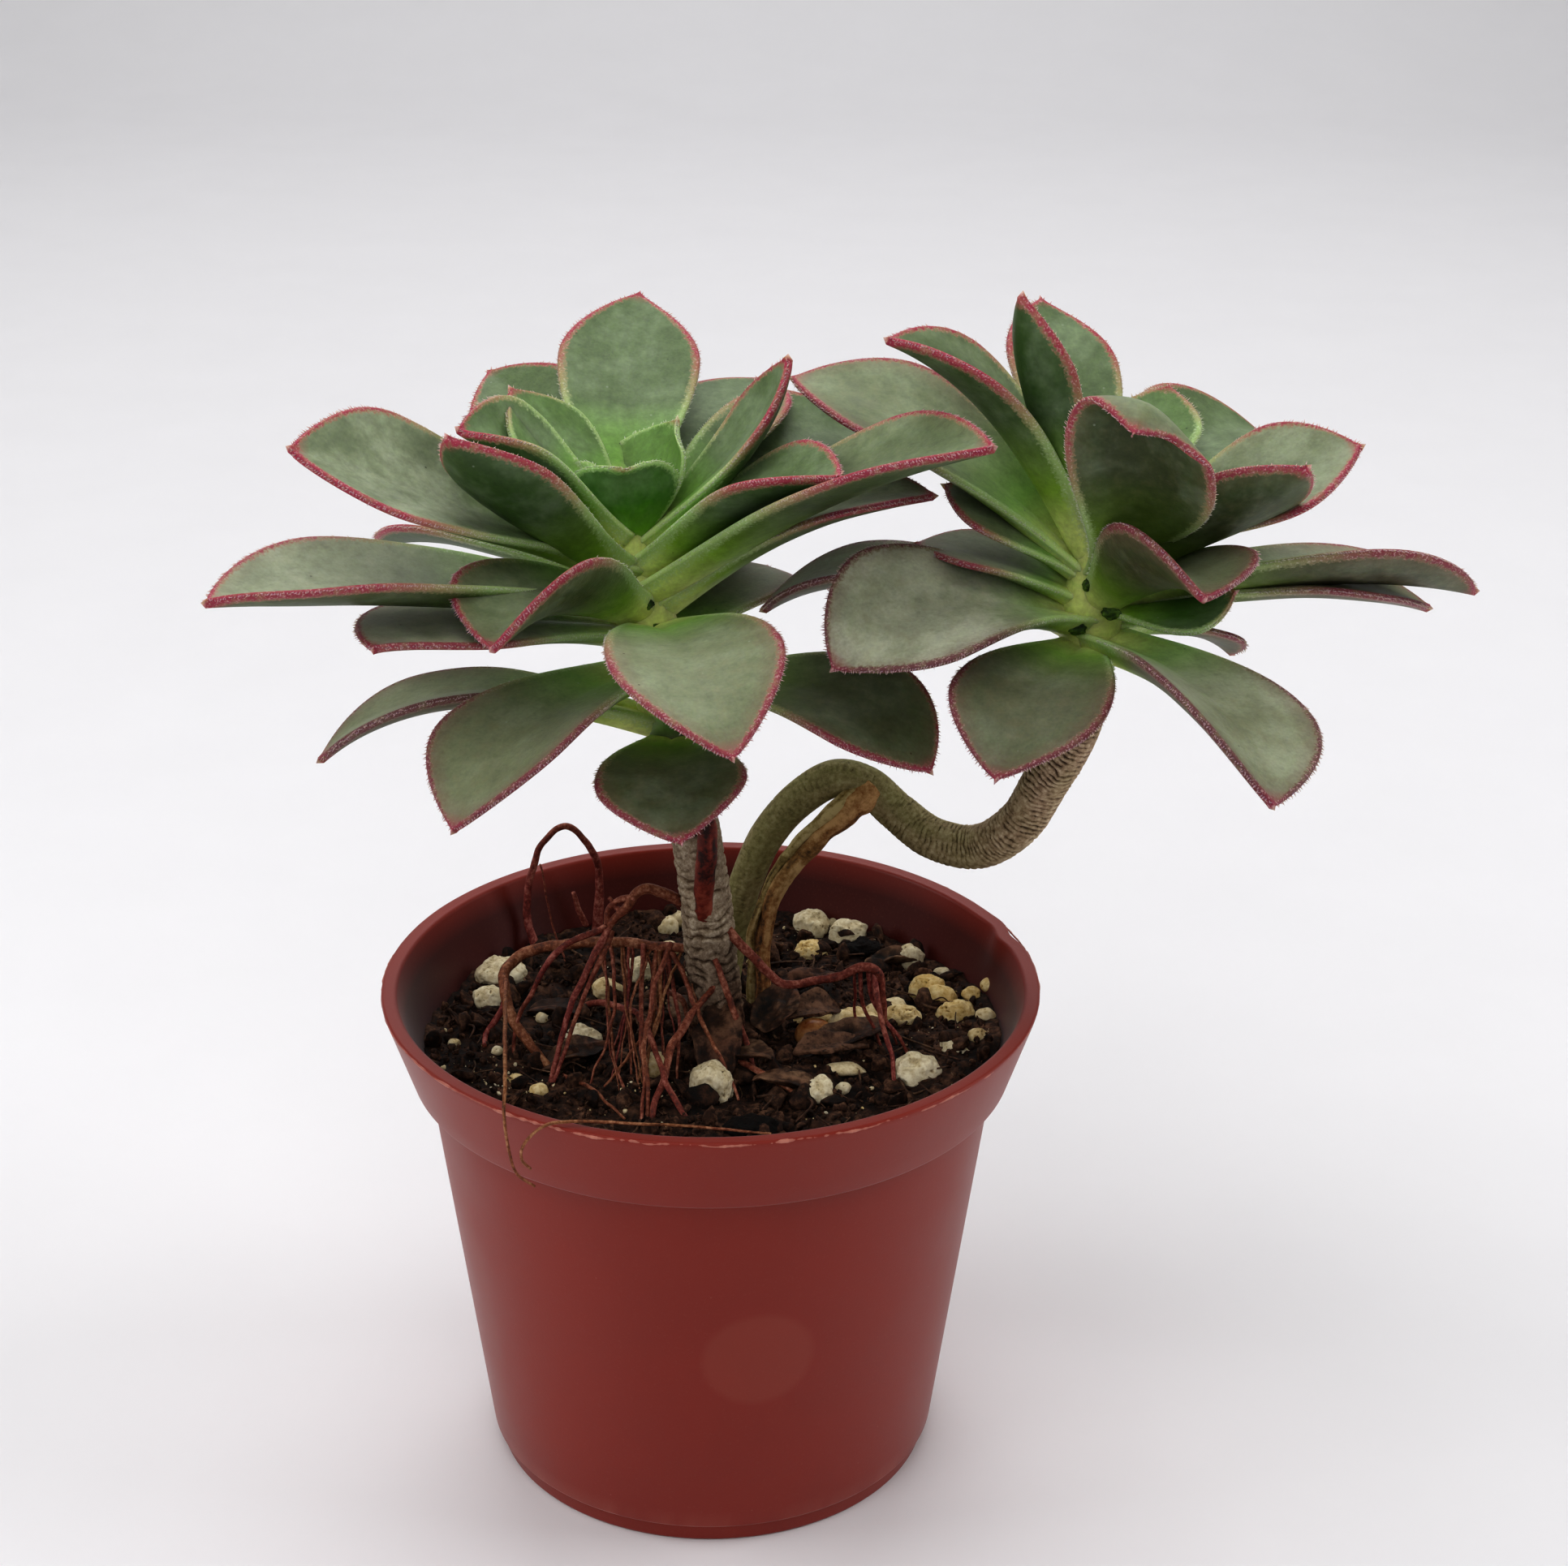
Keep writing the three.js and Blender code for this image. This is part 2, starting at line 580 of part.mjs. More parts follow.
function pot() {
  const wall = turned(
    [
      [0, 0],
      [FOOT_RADIUS, 0],
      [FOOT_RADIUS + DRAFT, FOOT_STEP_HEIGHT - DRAFT],
      [FOOT_RADIUS + FOOT_STEP, FOOT_STEP_HEIGHT],
      [BODY_TOP_RADIUS, COLLAR_BOTTOM - DRAFT],
      [COLLAR_RADIUS, COLLAR_BOTTOM],
      [POT_TOP_RADIUS - DRAFT, POT_HEIGHT - LIP_DEPTH],
      [POT_TOP_RADIUS, POT_HEIGHT - LIP_ROUND],
      [POT_TOP_RADIUS - LIP_ROUND, POT_HEIGHT],
      [POT_TOP_RADIUS - POT_LIP, POT_HEIGHT - DRAFT],
      [COLLAR_RADIUS - COLLAR_WALL, STEP_TOP],
      [BODY_TOP_RADIUS - POT_WALL, STEP_BOTTOM],
      [FLOOR_RADIUS, FLOOR_THICKNESS],
      [0, FLOOR_THICKNESS],
    ],
    POT_SIDES,
  );
  return Array.from({ length: DRAIN_HOLES }, (_, i) => (2 * Math.PI * i) / DRAIN_HOLES).reduce(
    (solid, turn) => {
      const drill = new THREE.CylinderGeometry(DRAIN_RADIUS, DRAIN_RADIUS, 3 * FLOOR_THICKNESS, 12);
      drill.rotateX(Math.PI / 2).translate(DRAIN_CIRCLE * Math.cos(turn), DRAIN_CIRCLE * Math.sin(turn), 0);
      return solid.subtract(solidOf(drill));
    },
    wall,
  );
}

// The block of soil: sides that follow the pot's wall a gap away, and a mounded top.
function soilBlock() {
  const topRadius = COLLAR_RADIUS - COLLAR_WALL - GAP;
  const sides = [
    circle(FLOOR_RADIUS - GAP, FLOOR_THICKNESS + GAP, SOIL_SIDES),
    circle(BODY_TOP_RADIUS - POT_WALL - GAP, STEP_BOTTOM, SOIL_SIDES),
    circle(topRadius - GAP / 2, STEP_TOP - GAP / 2, SOIL_SIDES),
  ];
  const top = SOIL_RINGS.map((share) =>
    circle(topRadius * share, 0, SOIL_SIDES).map((p) => p.setZ(soilHeight(p.x, p.y))),
  );
  return solidOf(loft([...sides, ...top]));
}

// ---------------------------------------------------------------- the assembly

const grains = [
  ...PUMICE_GRAINS.map((each, i) => ({ name: `pumice_${i + 1}`, material: PUMICE, seed: 11 + i, each })),
  ...PEAT_LUMPS.map((each, i) => ({ name: `peat_lump_${i + 1}`, material: PEAT, seed: 71 + i, each })),
];
const deadLeaves = DEAD_LEAVES.map((each, i) => ({
  name: `dead_leaf_${i + 1}`,
  solid: leaf(new THREE.Vector3(...each.root), each),
}));

// Plain holes for the stems and roots, and hollows for the grains, each a gap wider than what it holds.
const holes = [
  limb(MAIN_STEM, MAIN_STEM_RINGS, MAIN_STEM_RIBS, HOLE_GAP),
  limb(SIDE_STEM, SIDE_STEM_RINGS, SIDE_STEM_RIBS, HOLE_GAP),
  strand(WOODY_ROOT, HOLE_GAP),
  ...STEM_ROOTS.map((root) => strand(root, HOLE_GAP)),
  ...Object.values(ROOT_LOOPS).map((root) => strand(root, HOLE_GAP)),
  ...grains.map(({ each, seed }) => grain(each, seed, HOLE_GAP)),
];
const soil = largestBody(holes.reduce((block, hole) => block.subtract(hole), soilBlock()));

const mainStem = fuse([
  limb(MAIN_STEM, MAIN_STEM_RINGS, MAIN_STEM_RIBS),
  strand(STALK),
  ...STEM_ROOTS.map((root) => strand(root)),
]);
const sideStem = limb(SIDE_STEM, SIDE_STEM_RINGS, SIDE_STEM_RIBS).add(strand(WOODY_ROOT));

const plant = new THREE.Group();
function place(name, solid, material) {
  const mesh = new THREE.Mesh(geometryOf(solid), material);
  mesh.name = name;
  plant.add(mesh);
}

place("pot", pot(), POT_PLASTIC);
place("soil", soil, PEAT);
place("main_stem", mainStem, BARK);
place("side_stem", sideStem, OLIVE_BARK);
place("left_rosette", rosette(LEFT_ROSETTE), LEAF_GREEN);
place("right_rosette", rosette(RIGHT_ROSETTE), LEAF_GREEN);
for (const [name, root] of Object.entries(ROOT_LOOPS)) place(name, strand(root), ROOT_BROWN);
for (const { name, solid } of deadLeaves) place(name, solid, DEAD_LEAF);
for (const { name, each, seed, material } of grains) place(name, grain(each, seed), material);

export default plant;
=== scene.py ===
"""Dresses a potted two-headed aeonium: red-edged leaves, bark, aerial roots, peat and grit in a plastic pot.

Sizes and places are in millimetres and become metres when a mesh is made. The front of the plant faces
-Y, +X is to the viewer's right and +Z is up. The pot stands on z = 0.
"""

import logging
import math
from collections.abc import Iterable, Sequence
from dataclasses import dataclass, field
from enum import Enum

import bmesh
import bpy
import numpy as np
from mathutils import Matrix


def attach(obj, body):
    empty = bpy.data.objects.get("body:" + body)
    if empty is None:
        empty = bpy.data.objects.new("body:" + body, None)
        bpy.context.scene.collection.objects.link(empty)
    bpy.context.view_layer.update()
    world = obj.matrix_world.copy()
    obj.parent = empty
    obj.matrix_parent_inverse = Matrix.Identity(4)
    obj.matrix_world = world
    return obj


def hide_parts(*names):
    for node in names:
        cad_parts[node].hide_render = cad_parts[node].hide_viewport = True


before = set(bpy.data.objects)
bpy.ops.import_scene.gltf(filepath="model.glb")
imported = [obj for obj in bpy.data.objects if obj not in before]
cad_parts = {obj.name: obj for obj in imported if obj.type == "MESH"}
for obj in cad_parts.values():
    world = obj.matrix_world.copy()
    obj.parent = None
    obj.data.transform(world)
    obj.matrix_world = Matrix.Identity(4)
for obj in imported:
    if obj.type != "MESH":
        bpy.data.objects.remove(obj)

Array = np.ndarray
Point = tuple[float, float, float]
Colour = tuple[float, float, float, float]
Tree = bpy.types.NodeTree
Socket = bpy.types.NodeSocket
Sockets = dict[str, Socket]
Feed = Socket | str | float | Sequence[float]
Random = np.random.Generator
Material = bpy.types.Material

MM = 0.001  # metres in a millimetre
BODY = "root"
NOISE_RANGE = (0.3, 0.7)  # where nearly all values of a noise pattern lie
UP = np.array([0.0, 0.0, 1.0])

log = logging.getLogger("aeonium")


class Slot(Enum):
    """The record's material slots."""

    POT_PLASTIC = "pot_plastic"
    PEAT = "peat"
    BARK = "bark"
    OLIVE_BARK = "olive_bark"
    LEAF = "leaf"
    ROOT = "root"
    DEAD_LEAF = "dead_leaf"
    PUMICE = "pumice"


# ---------------------------------------------------------------- small helpers


def linear(code: str) -> Colour:
    """Turns an sRGB hex colour into the linear colour that shaders read.

    Args:
        code: The colour, such as "#93382c".

    Returns:
        Red, green, blue and an alpha of 1.
    """
    parts = [int(code[i : i + 2], 16) / 255 for i in (1, 3, 5)]
    red, green, blue = (c / 12.92 if c <= 0.04045 else ((c + 0.055) / 1.055) ** 2.4 for c in parts)
    return red, green, blue, 1.0


def lumps(points: Array, grain: float, seed: int = 0) -> Array:
    """A smooth random field.

    Args:
        points: Places, in millimetres, with three numbers each.
        grain: Size of the field's lumps, in millimetres.
        seed: Picks the field.

    Returns:
        A number from -1 to 1 for each place.
    """
    cell = np.asarray(points, float) / grain + 11.3 * (seed + 1)
    base = np.floor(cell).astype(np.int64)
    part = cell - base
    blend = part * part * (3 - 2 * part)
    total = np.zeros(cell.shape[:-1])
    for corner in np.ndindex(2, 2, 2):
        weight = np.prod(np.where(corner, blend, 1 - blend), axis=-1)
        key = (base + np.array(corner)) * np.array([73856093, 19349663, 83492791])
        mixed = key[..., 0] ^ key[..., 1] ^ key[..., 2] ^ (seed * 40503)
        mixed = ((mixed ^ (mixed >> 13)) * 1274126177) & 0xFFFFFFFF
        total += weight * (((mixed ^ (mixed >> 16)) & 0xFFFF) / 32767.5 - 1)
    return total


def crumpled(points: Array, grain: float, seed: int = 0, octaves: int = 3) -> Array:
    """A rougher random field: lumps with smaller lumps on them.

    Args:
        points: Places, in millimetres.
        grain: Size of the largest lumps, in millimetres.
        seed: Picks the field.
        octaves: How many times the lumps are halved.

    Returns:
        A number of about -1 to 1 for each place.
    """
    return sum(lumps(points, grain / 2**k, seed + k) / 2**k for k in range(octaves)) / 1.6


def follow(route: Sequence[Point], count: int) -> Array:
    """Draws a smooth line through the points of a route.

    Args:
        route: The points, in millimetres.
        count: How many evenly spaced places to return.

    Returns:
        The places, one row each.
    """
    knots = np.array(route, float)
    padded = [2 * knots[0] - knots[1], *knots, 2 * knots[-1] - knots[-2]]
    t = np.linspace(0, 1, 24, endpoint=False)[:, None]
    spans = []
    for a, b, c, d in zip(padded, padded[1:], padded[2:], padded[3:]):
        before, here, after = (max(np.linalg.norm(q - p), 1e-6) ** 0.5 for p, q in ((a, b), (b, c), (c, d)))
        leave = ((b - a) / before - (c - a) / (before + here) + (c - b) / here) * here
        arrive = ((c - b) / here - (d - b) / (here + after) + (d - c) / after) * here
        square = 3 * (c - b) - 2 * leave - arrive
        cube = 2 * (b - c) + leave + arrive
        spans.append(b + leave * t + square * t**2 + cube * t**3)
    line = np.vstack([*spans, knots[-1:]])
    travelled = np.concatenate([[0], np.cumsum(np.linalg.norm(np.diff(line, axis=0), axis=1))])
    wanted = np.linspace(0, travelled[-1], count)
    return np.column_stack([np.interp(wanted, travelled, line[:, k]) for k in range(3)])


def unit(vectors: Array) -> Array:
    """Scales each vector to a length of 1."""
    return vectors / np.maximum(np.linalg.norm(vectors, axis=-1, keepdims=True), 1e-9)


def turns(count: int) -> Array:
    """Even headings round a circle, in radians."""
    return np.linspace(0, 2 * math.pi, count, endpoint=False)


# ---------------------------------------------------------------- meshes


@dataclass
class Shell:
    """A mesh in the making: points in millimetres, faces, and marks, which are numbers the materials read."""

    points: Array
    faces: list[Array] = field(default_factory=list)
    marks: dict[str, Array] = field(default_factory=dict)

    def marked(self, **values: float | Array) -> "Shell":
        """Gives every point the same mark, or each point its own.

        Args:
            values: Mark names and their numbers.

        Returns:
            The same shell.
        """
        for name, value in values.items():
            self.marks[name] = np.broadcast_to(np.asarray(value, float), (len(self.points),)).copy()
        return self

    def outward(self) -> "Shell":
        """Turns the faces round if they point in.

        Returns:
            The same shell.
        """
        volume = 0.0
        for faces in self.faces:
            first = self.points[faces[:, 0]]
            for k in range(1, faces.shape[1] - 1):
                volume += np.sum(first * np.cross(self.points[faces[:, k]], self.points[faces[:, k + 1]]))
        if volume < 0:
            self.faces = [faces[:, ::-1] for faces in self.faces]
        return self

    @staticmethod
    def join(shells: Iterable["Shell"]) -> "Shell":
        """Puts several shells into one.

        Args:
            shells: The shells; a mark that one of them lacks is 0 there.

        Returns:
            One shell that holds them all.
        """
        shells = list(shells)
        names = sorted({name for shell in shells for name in shell.marks})
        starts = np.cumsum([0, *(len(shell.points) for shell in shells)])
        faces = [f + start for shell, start in zip(shells, starts) for f in shell.faces]
        marks = {
            name: np.concatenate([shell.marks.get(name, np.zeros(len(shell.points))) for shell in shells])
            for name in names
        }
        return Shell(np.concatenate([shell.points for shell in shells]), faces, marks)

    def piece(
        self,
        name: str,
        material: Material,
        slot: Slot,
        nodes: Sequence[str] = (),
        crease: float = 180,
    ) -> bpy.types.Object:
        """Makes the shell a piece of the plant.

        Args:
            name: The piece's name.
            material: Its finish.
            slot: The record's material slot that the finish belongs to.
            nodes: The frame's nodes that the piece stands for.
            crease: Edges that bend by more than this, in degrees, stay sharp.

        Returns:
            The new object.
        """
        mesh = bpy.data.meshes.new(name)
        faces = [face for each in self.faces for face in each.tolist()]
        mesh.from_pydata((self.points * MM).tolist(), [], faces)
        for mark, values in self.marks.items():
            mesh.attributes.new(mark, "FLOAT", "POINT").data.foreach_set("value", values.astype(np.float32))
        mesh.shade_smooth()
        if crease < 180:
            mesh.set_sharp_from_angle(angle=math.radians(crease))
        mesh.materials.append(material)
        made = bpy.data.objects.new(name, mesh)
        bpy.context.scene.collection.objects.link(made)
        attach(made, BODY)
        if nodes:
            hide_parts(*nodes)
        stands_for = ", ".join(nodes) or "nothing"
        log.info("%s: %d points, slot %s, stands for %s", name, len(mesh.vertices), slot.value, stands_for)
        return made


def lattice(rows: int, columns: int, closed: bool = True) -> Array:
    """Joins neighbouring points of a grid with four-sided faces.

    Args:
        rows: Number of rows of points.
        columns: Number of points in a row.
        closed: Whether each row's end meets its start.

    Returns:
        The faces, as point numbers.
    """
    index = np.arange(rows * columns).reshape(rows, columns)
    after = np.roll(index, -1, axis=1)
    if not closed:
        index, after = index[:, :-1], after[:, :-1]
    return np.stack([index[:-1], after[:-1], after[1:], index[1:]], axis=-1).reshape(-1, 4)


def skin(rings: Array, ends: tuple[Array, Array] | None = None) -> Shell:
    """Skins a stack of closed rings and shuts both ends with a fan.

    Args:
        rings: The points, as ring, place on the ring and coordinate.
        ends: The middle points of the two fans; left out, they lie in the middle of the end rings.

    Returns:
        A closed shell.
    """
    count, sides = rings.shape[:2]
    first, last = ends if ends is not None else (rings[0].mean(axis=0), rings[-1].mean(axis=0))
    points = np.vstack([rings.reshape(-1, 3), first, last])
    start = np.arange(sides)
    turn = np.roll(start, -1)
    far = (count - 1) * sides
    fans = [
        np.column_stack([np.full(sides, count * sides), turn, start]),
        np.column_stack([np.full(sides, count * sides + 1), far + start, far + turn]),
    ]
    return Shell(points, [lattice(count, sides), *fans]).outward()


def tube(line: Array, radius: Array, sides: int) -> Shell:
    """Makes a round limb along a line.

    Args:
        line: The places along its middle.
        radius: Its radius at each place, or at each place and side.
        sides: How many sides it has.

    Returns:
        A closed shell, marked with the distance along it and the turn round it.
    """
    forward = unit(np.gradient(line, axis=0))
    across = np.zeros_like(line)
    across[0] = unit(np.cross(forward[0], [0.3, 0.9, 0.2]))
    for i in range(1, len(line)):
        across[i] = across[i - 1] - forward[i] * np.dot(across[i - 1], forward[i])
        across[i] /= np.linalg.norm(across[i])
    above = np.cross(forward, across)
    turn = turns(sides)
    radius = np.broadcast_to(np.asarray(radius, float).reshape(len(line), -1), (len(line), sides))[..., None]
    ring = across[:, None] * np.cos(turn)[None, :, None] + above[:, None] * np.sin(turn)[None, :, None]
    shell = skin(line[:, None] + radius * ring)
    share = np.linspace(0, 1, len(line))
    return shell.marked(along=np.concatenate([np.repeat(share, sides), [0, 1]]))


def ball(fineness: int) -> Shell:
    """A round ball of radius 1, made of even triangles.

    Args:
        fineness: How often its faces are divided.

    Returns:
        A closed shell.
    """
    work = bmesh.new()
    bmesh.ops.create_icosphere(work, subdivisions=fineness, radius=1)
    points = np.array([v.co[:] for v in work.verts])
    faces = np.array([[v.index for v in f.verts] for f in work.faces])
    work.free()
    return Shell(points, [faces])


def scattered(base: Shell, places: Array, sizes: Array, random: Random) -> Shell:
    """Copies a small lump to many places, each turned its own way.

    Args:
        base: The lump, about 1 mm in radius.
        places: Where the copies lie.
        sizes: Half the size of each copy along its own three axes.
        random: The random numbers.

    Returns:
        One shell that holds the copies, each marked with a tone of its own.
    """
    turns, _ = np.linalg.qr(random.normal(size=(len(places), 3, 3)))
    turns[np.linalg.det(turns) < 0, :, 0] *= -1
    local = np.einsum("nij,nkj->nki", turns, base.points[None] * sizes[:, None])
    faces = base.faces[0][None] + (np.arange(len(places)) * len(base.points))[:, None, None]
    shell = Shell((local + places[:, None]).reshape(-1, 3), [faces.reshape(-1, base.faces[0].shape[1])])
    return shell.marked(tone=np.repeat(random.random(len(places)), len(base.points)))


def chipped(shell: Shell, cuts: int, depth: float, seed: int) -> Shell:
    """Breaks flat faces off a lump.

    Args:
        shell: The lump, which is changed.
        cuts: How many faces.
        depth: Share of the lump's reach that the deepest cut leaves.
        seed: Picks the faces.

    Returns:
        The same shell.
    """
    random = np.random.default_rng(seed)
    middle = shell.points.mean(axis=0)
    out = shell.points - middle
    for direction in unit(random.normal(size=(cuts, 3))):
        reach = out @ direction
        limit = reach.max() * (depth + (1 - depth) * random.random())
        out = out - np.outer(np.maximum(reach - limit, 0), direction) * 0.85
    shell.points = middle + out
    return shell


# ---------------------------------------------------------------- finishes


class Kind(Enum):
    """The kinds of shader node: type, the sockets that are fed in turn, the output that is read, settings."""

    PLACE = ("TexCoord", (), "Object", {})
    MARK = ("Attribute", (), "Fac", {})
    NOISE = ("TexNoise", ("Vector", "Scale", "Detail", "Roughness"), "Fac", {})
    CELLS = ("TexVoronoi", ("Vector", "Scale"), "Distance", {})
    CHANNEL = ("SeparateColor", ("Color",), "Red", {})
    TRIPLE = ("CombineXYZ", ("X", "Y", "Z"), "Vector", {})
    STRETCH = ("VectorMath", (0, 1), "Vector", {"operation": "MULTIPLY"})
    DISTANCE = ("VectorMath", (0, 1), "Value", {"operation": "DISTANCE"})
    SUM = ("Math", (0, 1), 0, {"operation": "ADD"})
    LESS = ("Math", (0, 1), 0, {"operation": "SUBTRACT"})
    PRODUCT = ("Math", (0, 1), 0, {"operation": "MULTIPLY"})
    LARGER = ("Math", (0, 1), 0, {"operation": "MAXIMUM"})
    ABOVE = ("Math", (0, 1), 0, {"operation": "GREATER_THAN"})
    SPAN = ("MapRange", (0, 1, 2, 3, 4), 0, {})
    RAMP = ("ValToRGB", ("Fac",), "Color", {})
    BLEND = ("Mix", (0, 6, 7), 2, {"data_type": "RGBA"})
    TINT = ("Mix", (0, 6, 7), 2, {"data_type": "RGBA", "blend_type": "MULTIPLY"})
    BUMP = ("Bump", ("Strength", "Distance", "Height"), "Normal", {})


def grow(
    tree: Tree,
    kind: Kind,
    *feeds: Feed,
    stops: Sequence[tuple[float, str]] = (),
    **settings: object,
) -> Socket:
    """Adds one shader node with its settings and links.

    Args:
        tree: The material's node tree.
        kind: What the node does.
        feeds: For each of the kind's sockets in turn, its value, its sRGB hex colour or what feeds it.
        stops: A colour ramp's places, from 0 to 1, with their sRGB hex colours.
        settings: Further properties of the node.

    Returns:
        The output that the kind gives.
    """
    shader_type, sockets, read, fixed = kind.value
    made = tree.nodes.new("ShaderNode" + shader_type)
    for name, value in {**fixed, **settings}.items():
        setattr(made, name, value)
    if stops:
        elements = made.color_ramp.elements
        elements.remove(elements[1])
        elements[0].position = stops[0][0]
        elements[0].color = linear(stops[0][1])
        for place, code in stops[1:]:
            elements.new(place).color = linear(code)
    for socket, feed in zip(sockets, feeds):
        if isinstance(feed, Socket):
            tree.links.new(feed, made.inputs[socket])
        else:
            made.inputs[socket].default_value = linear(feed) if isinstance(feed, str) else feed
    return made.outputs[read]


def new_material(name: str) -> tuple[Material, Tree, bpy.types.Node]:
    """Starts a material with a shader and nothing else.

    Args:
        name: The material's name.

    Returns:
        The material, its node tree and its shader.
    """
    material = bpy.data.materials.new(name)
    material.use_nodes = True
    tree = material.node_tree
    return material, tree, tree.nodes["Principled BSDF"]


def pitch(size: float) -> float:
    """The texture scale whose spots or cells are this many millimetres across."""
    return 1 / (size * MM)


@dataclass(frozen=True)
class LeafFinish:
    """Living aeonium leaf: a waxy cuticle with a chalky bloom over green flesh, and red, toothed margins.

    The bloom makes the upper face grey-green and dull; the flesh shows yellow-green where the leaf meets
    the stem and dark green on the underside, its own green deepened by painted shade, and old leaves
    turn olive, brown and purple.
    """

    petiole: str = "#d0dc86"
    young: str = "#88b950"
    glaucous: str = "#6c8158"
    old: str = "#8f9474"
    under_base: str = "#86ad34"
    under_young: str = "#4d8f10"
    # the underside's dark green: its own colour, deepened as painted shade
    under_with_painted_shade: str = "#33541d"
    under_edge: str = "#5c734a"
    under_old: str = "#544d3b"
    weathered: str = "#6c6048"
    margin: str = "#a92c50"
    margin_old: str = "#6e3b45"
    margin_young: str = "#b4cc8c"
    # pale glassy colours of the teeth, also used for the painted glints on the margins
    tooth: str = "#dce2c8"
    tooth_red: str = "#e6c0c2"
    bloom: str = "#a3ad9a"
    # the whitened upper face: a thick chalky bloom, and painted light on leaves that the other leaves shade
    chalk: str = "#c3c6ad"
    dirt: str = "#2b2c1c"
    margin_width: float = 0.95
    blotch: float = 7.0
    mottle: float = 1.4
    grain: float = 0.4
    # size of the painted glints: pale specks on the margins that stand for light glinting off the hairs
    sparkle: float = 0.26  # the hairs glint finer than this; it is as coarse as it needs to show
    speck_spacing: float = 2.6
    flesh_depth: float = 2.0

    MARKS = ("along", "rim", "upper", "age", "tone", "tooth", "across", "chalk")
    VEIN_STRETCH = (1.1, 2.0, 40.0)  # a vein each 0.9 mm across; along; and from leaf to leaf
    # how dark and how light each pattern makes the face
    SHADES = {"blotches": (0.82, 1.12), "mottles": (0.82, 1.14), "fine": (0.93, 1.06), "veins": (0.96, 1.03)}

    def patterns(self, tree: Tree) -> Sockets:
        """Reads the marks on the mesh and lays the cuticle's random patterns.

        Args:
            tree: The node tree.

        Returns:
            The marks and patterns by name.
        """
        seen = {name: grow(tree, Kind.MARK, attribute_name=name) for name in self.MARKS}
        seen["place"] = grow(tree, Kind.PLACE)
        seen["blotches"] = grow(tree, Kind.NOISE, seen["place"], pitch(self.blotch), 4, 0.6)
        seen["mottles"] = grow(tree, Kind.NOISE, seen["place"], pitch(self.mottle), 4, 0.6)
        seen["fine"] = grow(tree, Kind.NOISE, seen["place"], pitch(self.grain), 2)
        on_leaf = grow(tree, Kind.TRIPLE, seen["across"], seen["along"], seen["tone"])
        lengthwise = grow(tree, Kind.STRETCH, on_leaf, self.VEIN_STRETCH)
        seen["veins"] = grow(tree, Kind.NOISE, lengthwise, 1.0, 3)
        blade = grow(tree, Kind.SPAN, seen["along"], 0.15, 0.6, 0.0, 1.0)
        aged = grow(tree, Kind.SPAN, seen["age"], 0.22, 0.56, 0.0, 0.85)
        seen["aged"] = grow(tree, Kind.PRODUCT, aged, blade)
        ripple = grow(tree, Kind.SPAN, seen["fine"], *NOISE_RANGE, -0.3, 0.3)
        seen["ragged_rim"] = grow(tree, Kind.SUM, seen["rim"], ripple)
        return seen

    def flesh(self, tree: Tree, seen: Sockets) -> Socket:
        """Colours the upper face and the underside from the stem to the tip, by the leaf's age.

        Args:
            tree: The node tree.
            seen: The marks and patterns.

        Returns:
            The colour.
        """
        youth = grow(tree, Kind.PRODUCT, grow(tree, Kind.SPAN, seen["age"], 0.22, 0.08, 0.0, 1.0), 0.8)
        top_stops = [(0.12, self.petiole), (0.28, self.young), (0.52, self.glaucous)]
        top = grow(tree, Kind.RAMP, seen["along"], stops=top_stops)
        top = grow(tree, Kind.BLEND, seen["aged"], top, self.old)
        top = grow(tree, Kind.BLEND, youth, top, self.young)
        # chalk and painted light: whitens the upper face of the leaves marked for it, partly bloom and partly
        # painted light
        chalk_and_light_share = grow(tree, Kind.SPAN, seen["along"], 0.2, 0.5, 0.2, 1.0)
        chalk_and_light_share = grow(tree, Kind.PRODUCT, seen["chalk"], chalk_and_light_share)
        patchy = grow(tree, Kind.SPAN, seen["blotches"], 0.38, 0.6, 0.6, 1.1)
        chalk_and_light_share = grow(tree, Kind.PRODUCT, chalk_and_light_share, patchy)
        top = grow(tree, Kind.BLEND, chalk_and_light_share, top, self.chalk)

        low_stops = [(0.12, self.petiole), (0.28, self.under_base), (0.58, self.under_with_painted_shade)]
        low = grow(tree, Kind.RAMP, seen["along"], stops=low_stops)
        low = grow(tree, Kind.BLEND, seen["aged"], low, self.under_old)
        low = grow(tree, Kind.BLEND, youth, low, self.under_young)
        near_edge = grow(tree, Kind.SPAN, seen["rim"], 4.5, 0.8, 0.0, 0.6)
        outer = grow(tree, Kind.SPAN, seen["along"], 0.3, 0.6, 0.0, 1.0)
        dull_edge = grow(tree, Kind.PRODUCT, near_edge, outer)
        low = grow(tree, Kind.BLEND, dull_edge, low, self.under_edge)

        face = grow(tree, Kind.BLEND, seen["upper"], low, top)
        worn = grow(tree, Kind.SPAN, seen["mottles"], 0.48, 0.66, 0.0, 0.34)
        worn = grow(tree, Kind.PRODUCT, seen["aged"], worn)
        return grow(tree, Kind.BLEND, worn, face, self.weathered)

    def clouded(self, tree: Tree, seen: Sockets, face: Socket) -> Socket:
        """Lays the chalky bloom in clouds, with faint veins and specks of lime and dirt.

        Args:
            tree: The node tree.
            seen: The marks and patterns.
            face: The flesh's colour.

        Returns:
            The colour.
        """
        outer = grow(tree, Kind.SPAN, seen["along"], 0.25, 0.6, 0.1, 1.0)
        cloud = grow(tree, Kind.SPAN, seen["blotches"], 0.44, 0.64, 0.0, 0.2)
        cloud = grow(tree, Kind.PRODUCT, cloud, outer)
        face = grow(tree, Kind.BLEND, cloud, face, self.bloom)
        for pattern, shades in self.SHADES.items():
            shade = grow(tree, Kind.SPAN, seen[pattern], *NOISE_RANGE, *shades)
            face = grow(tree, Kind.TINT, 1.0, face, shade)

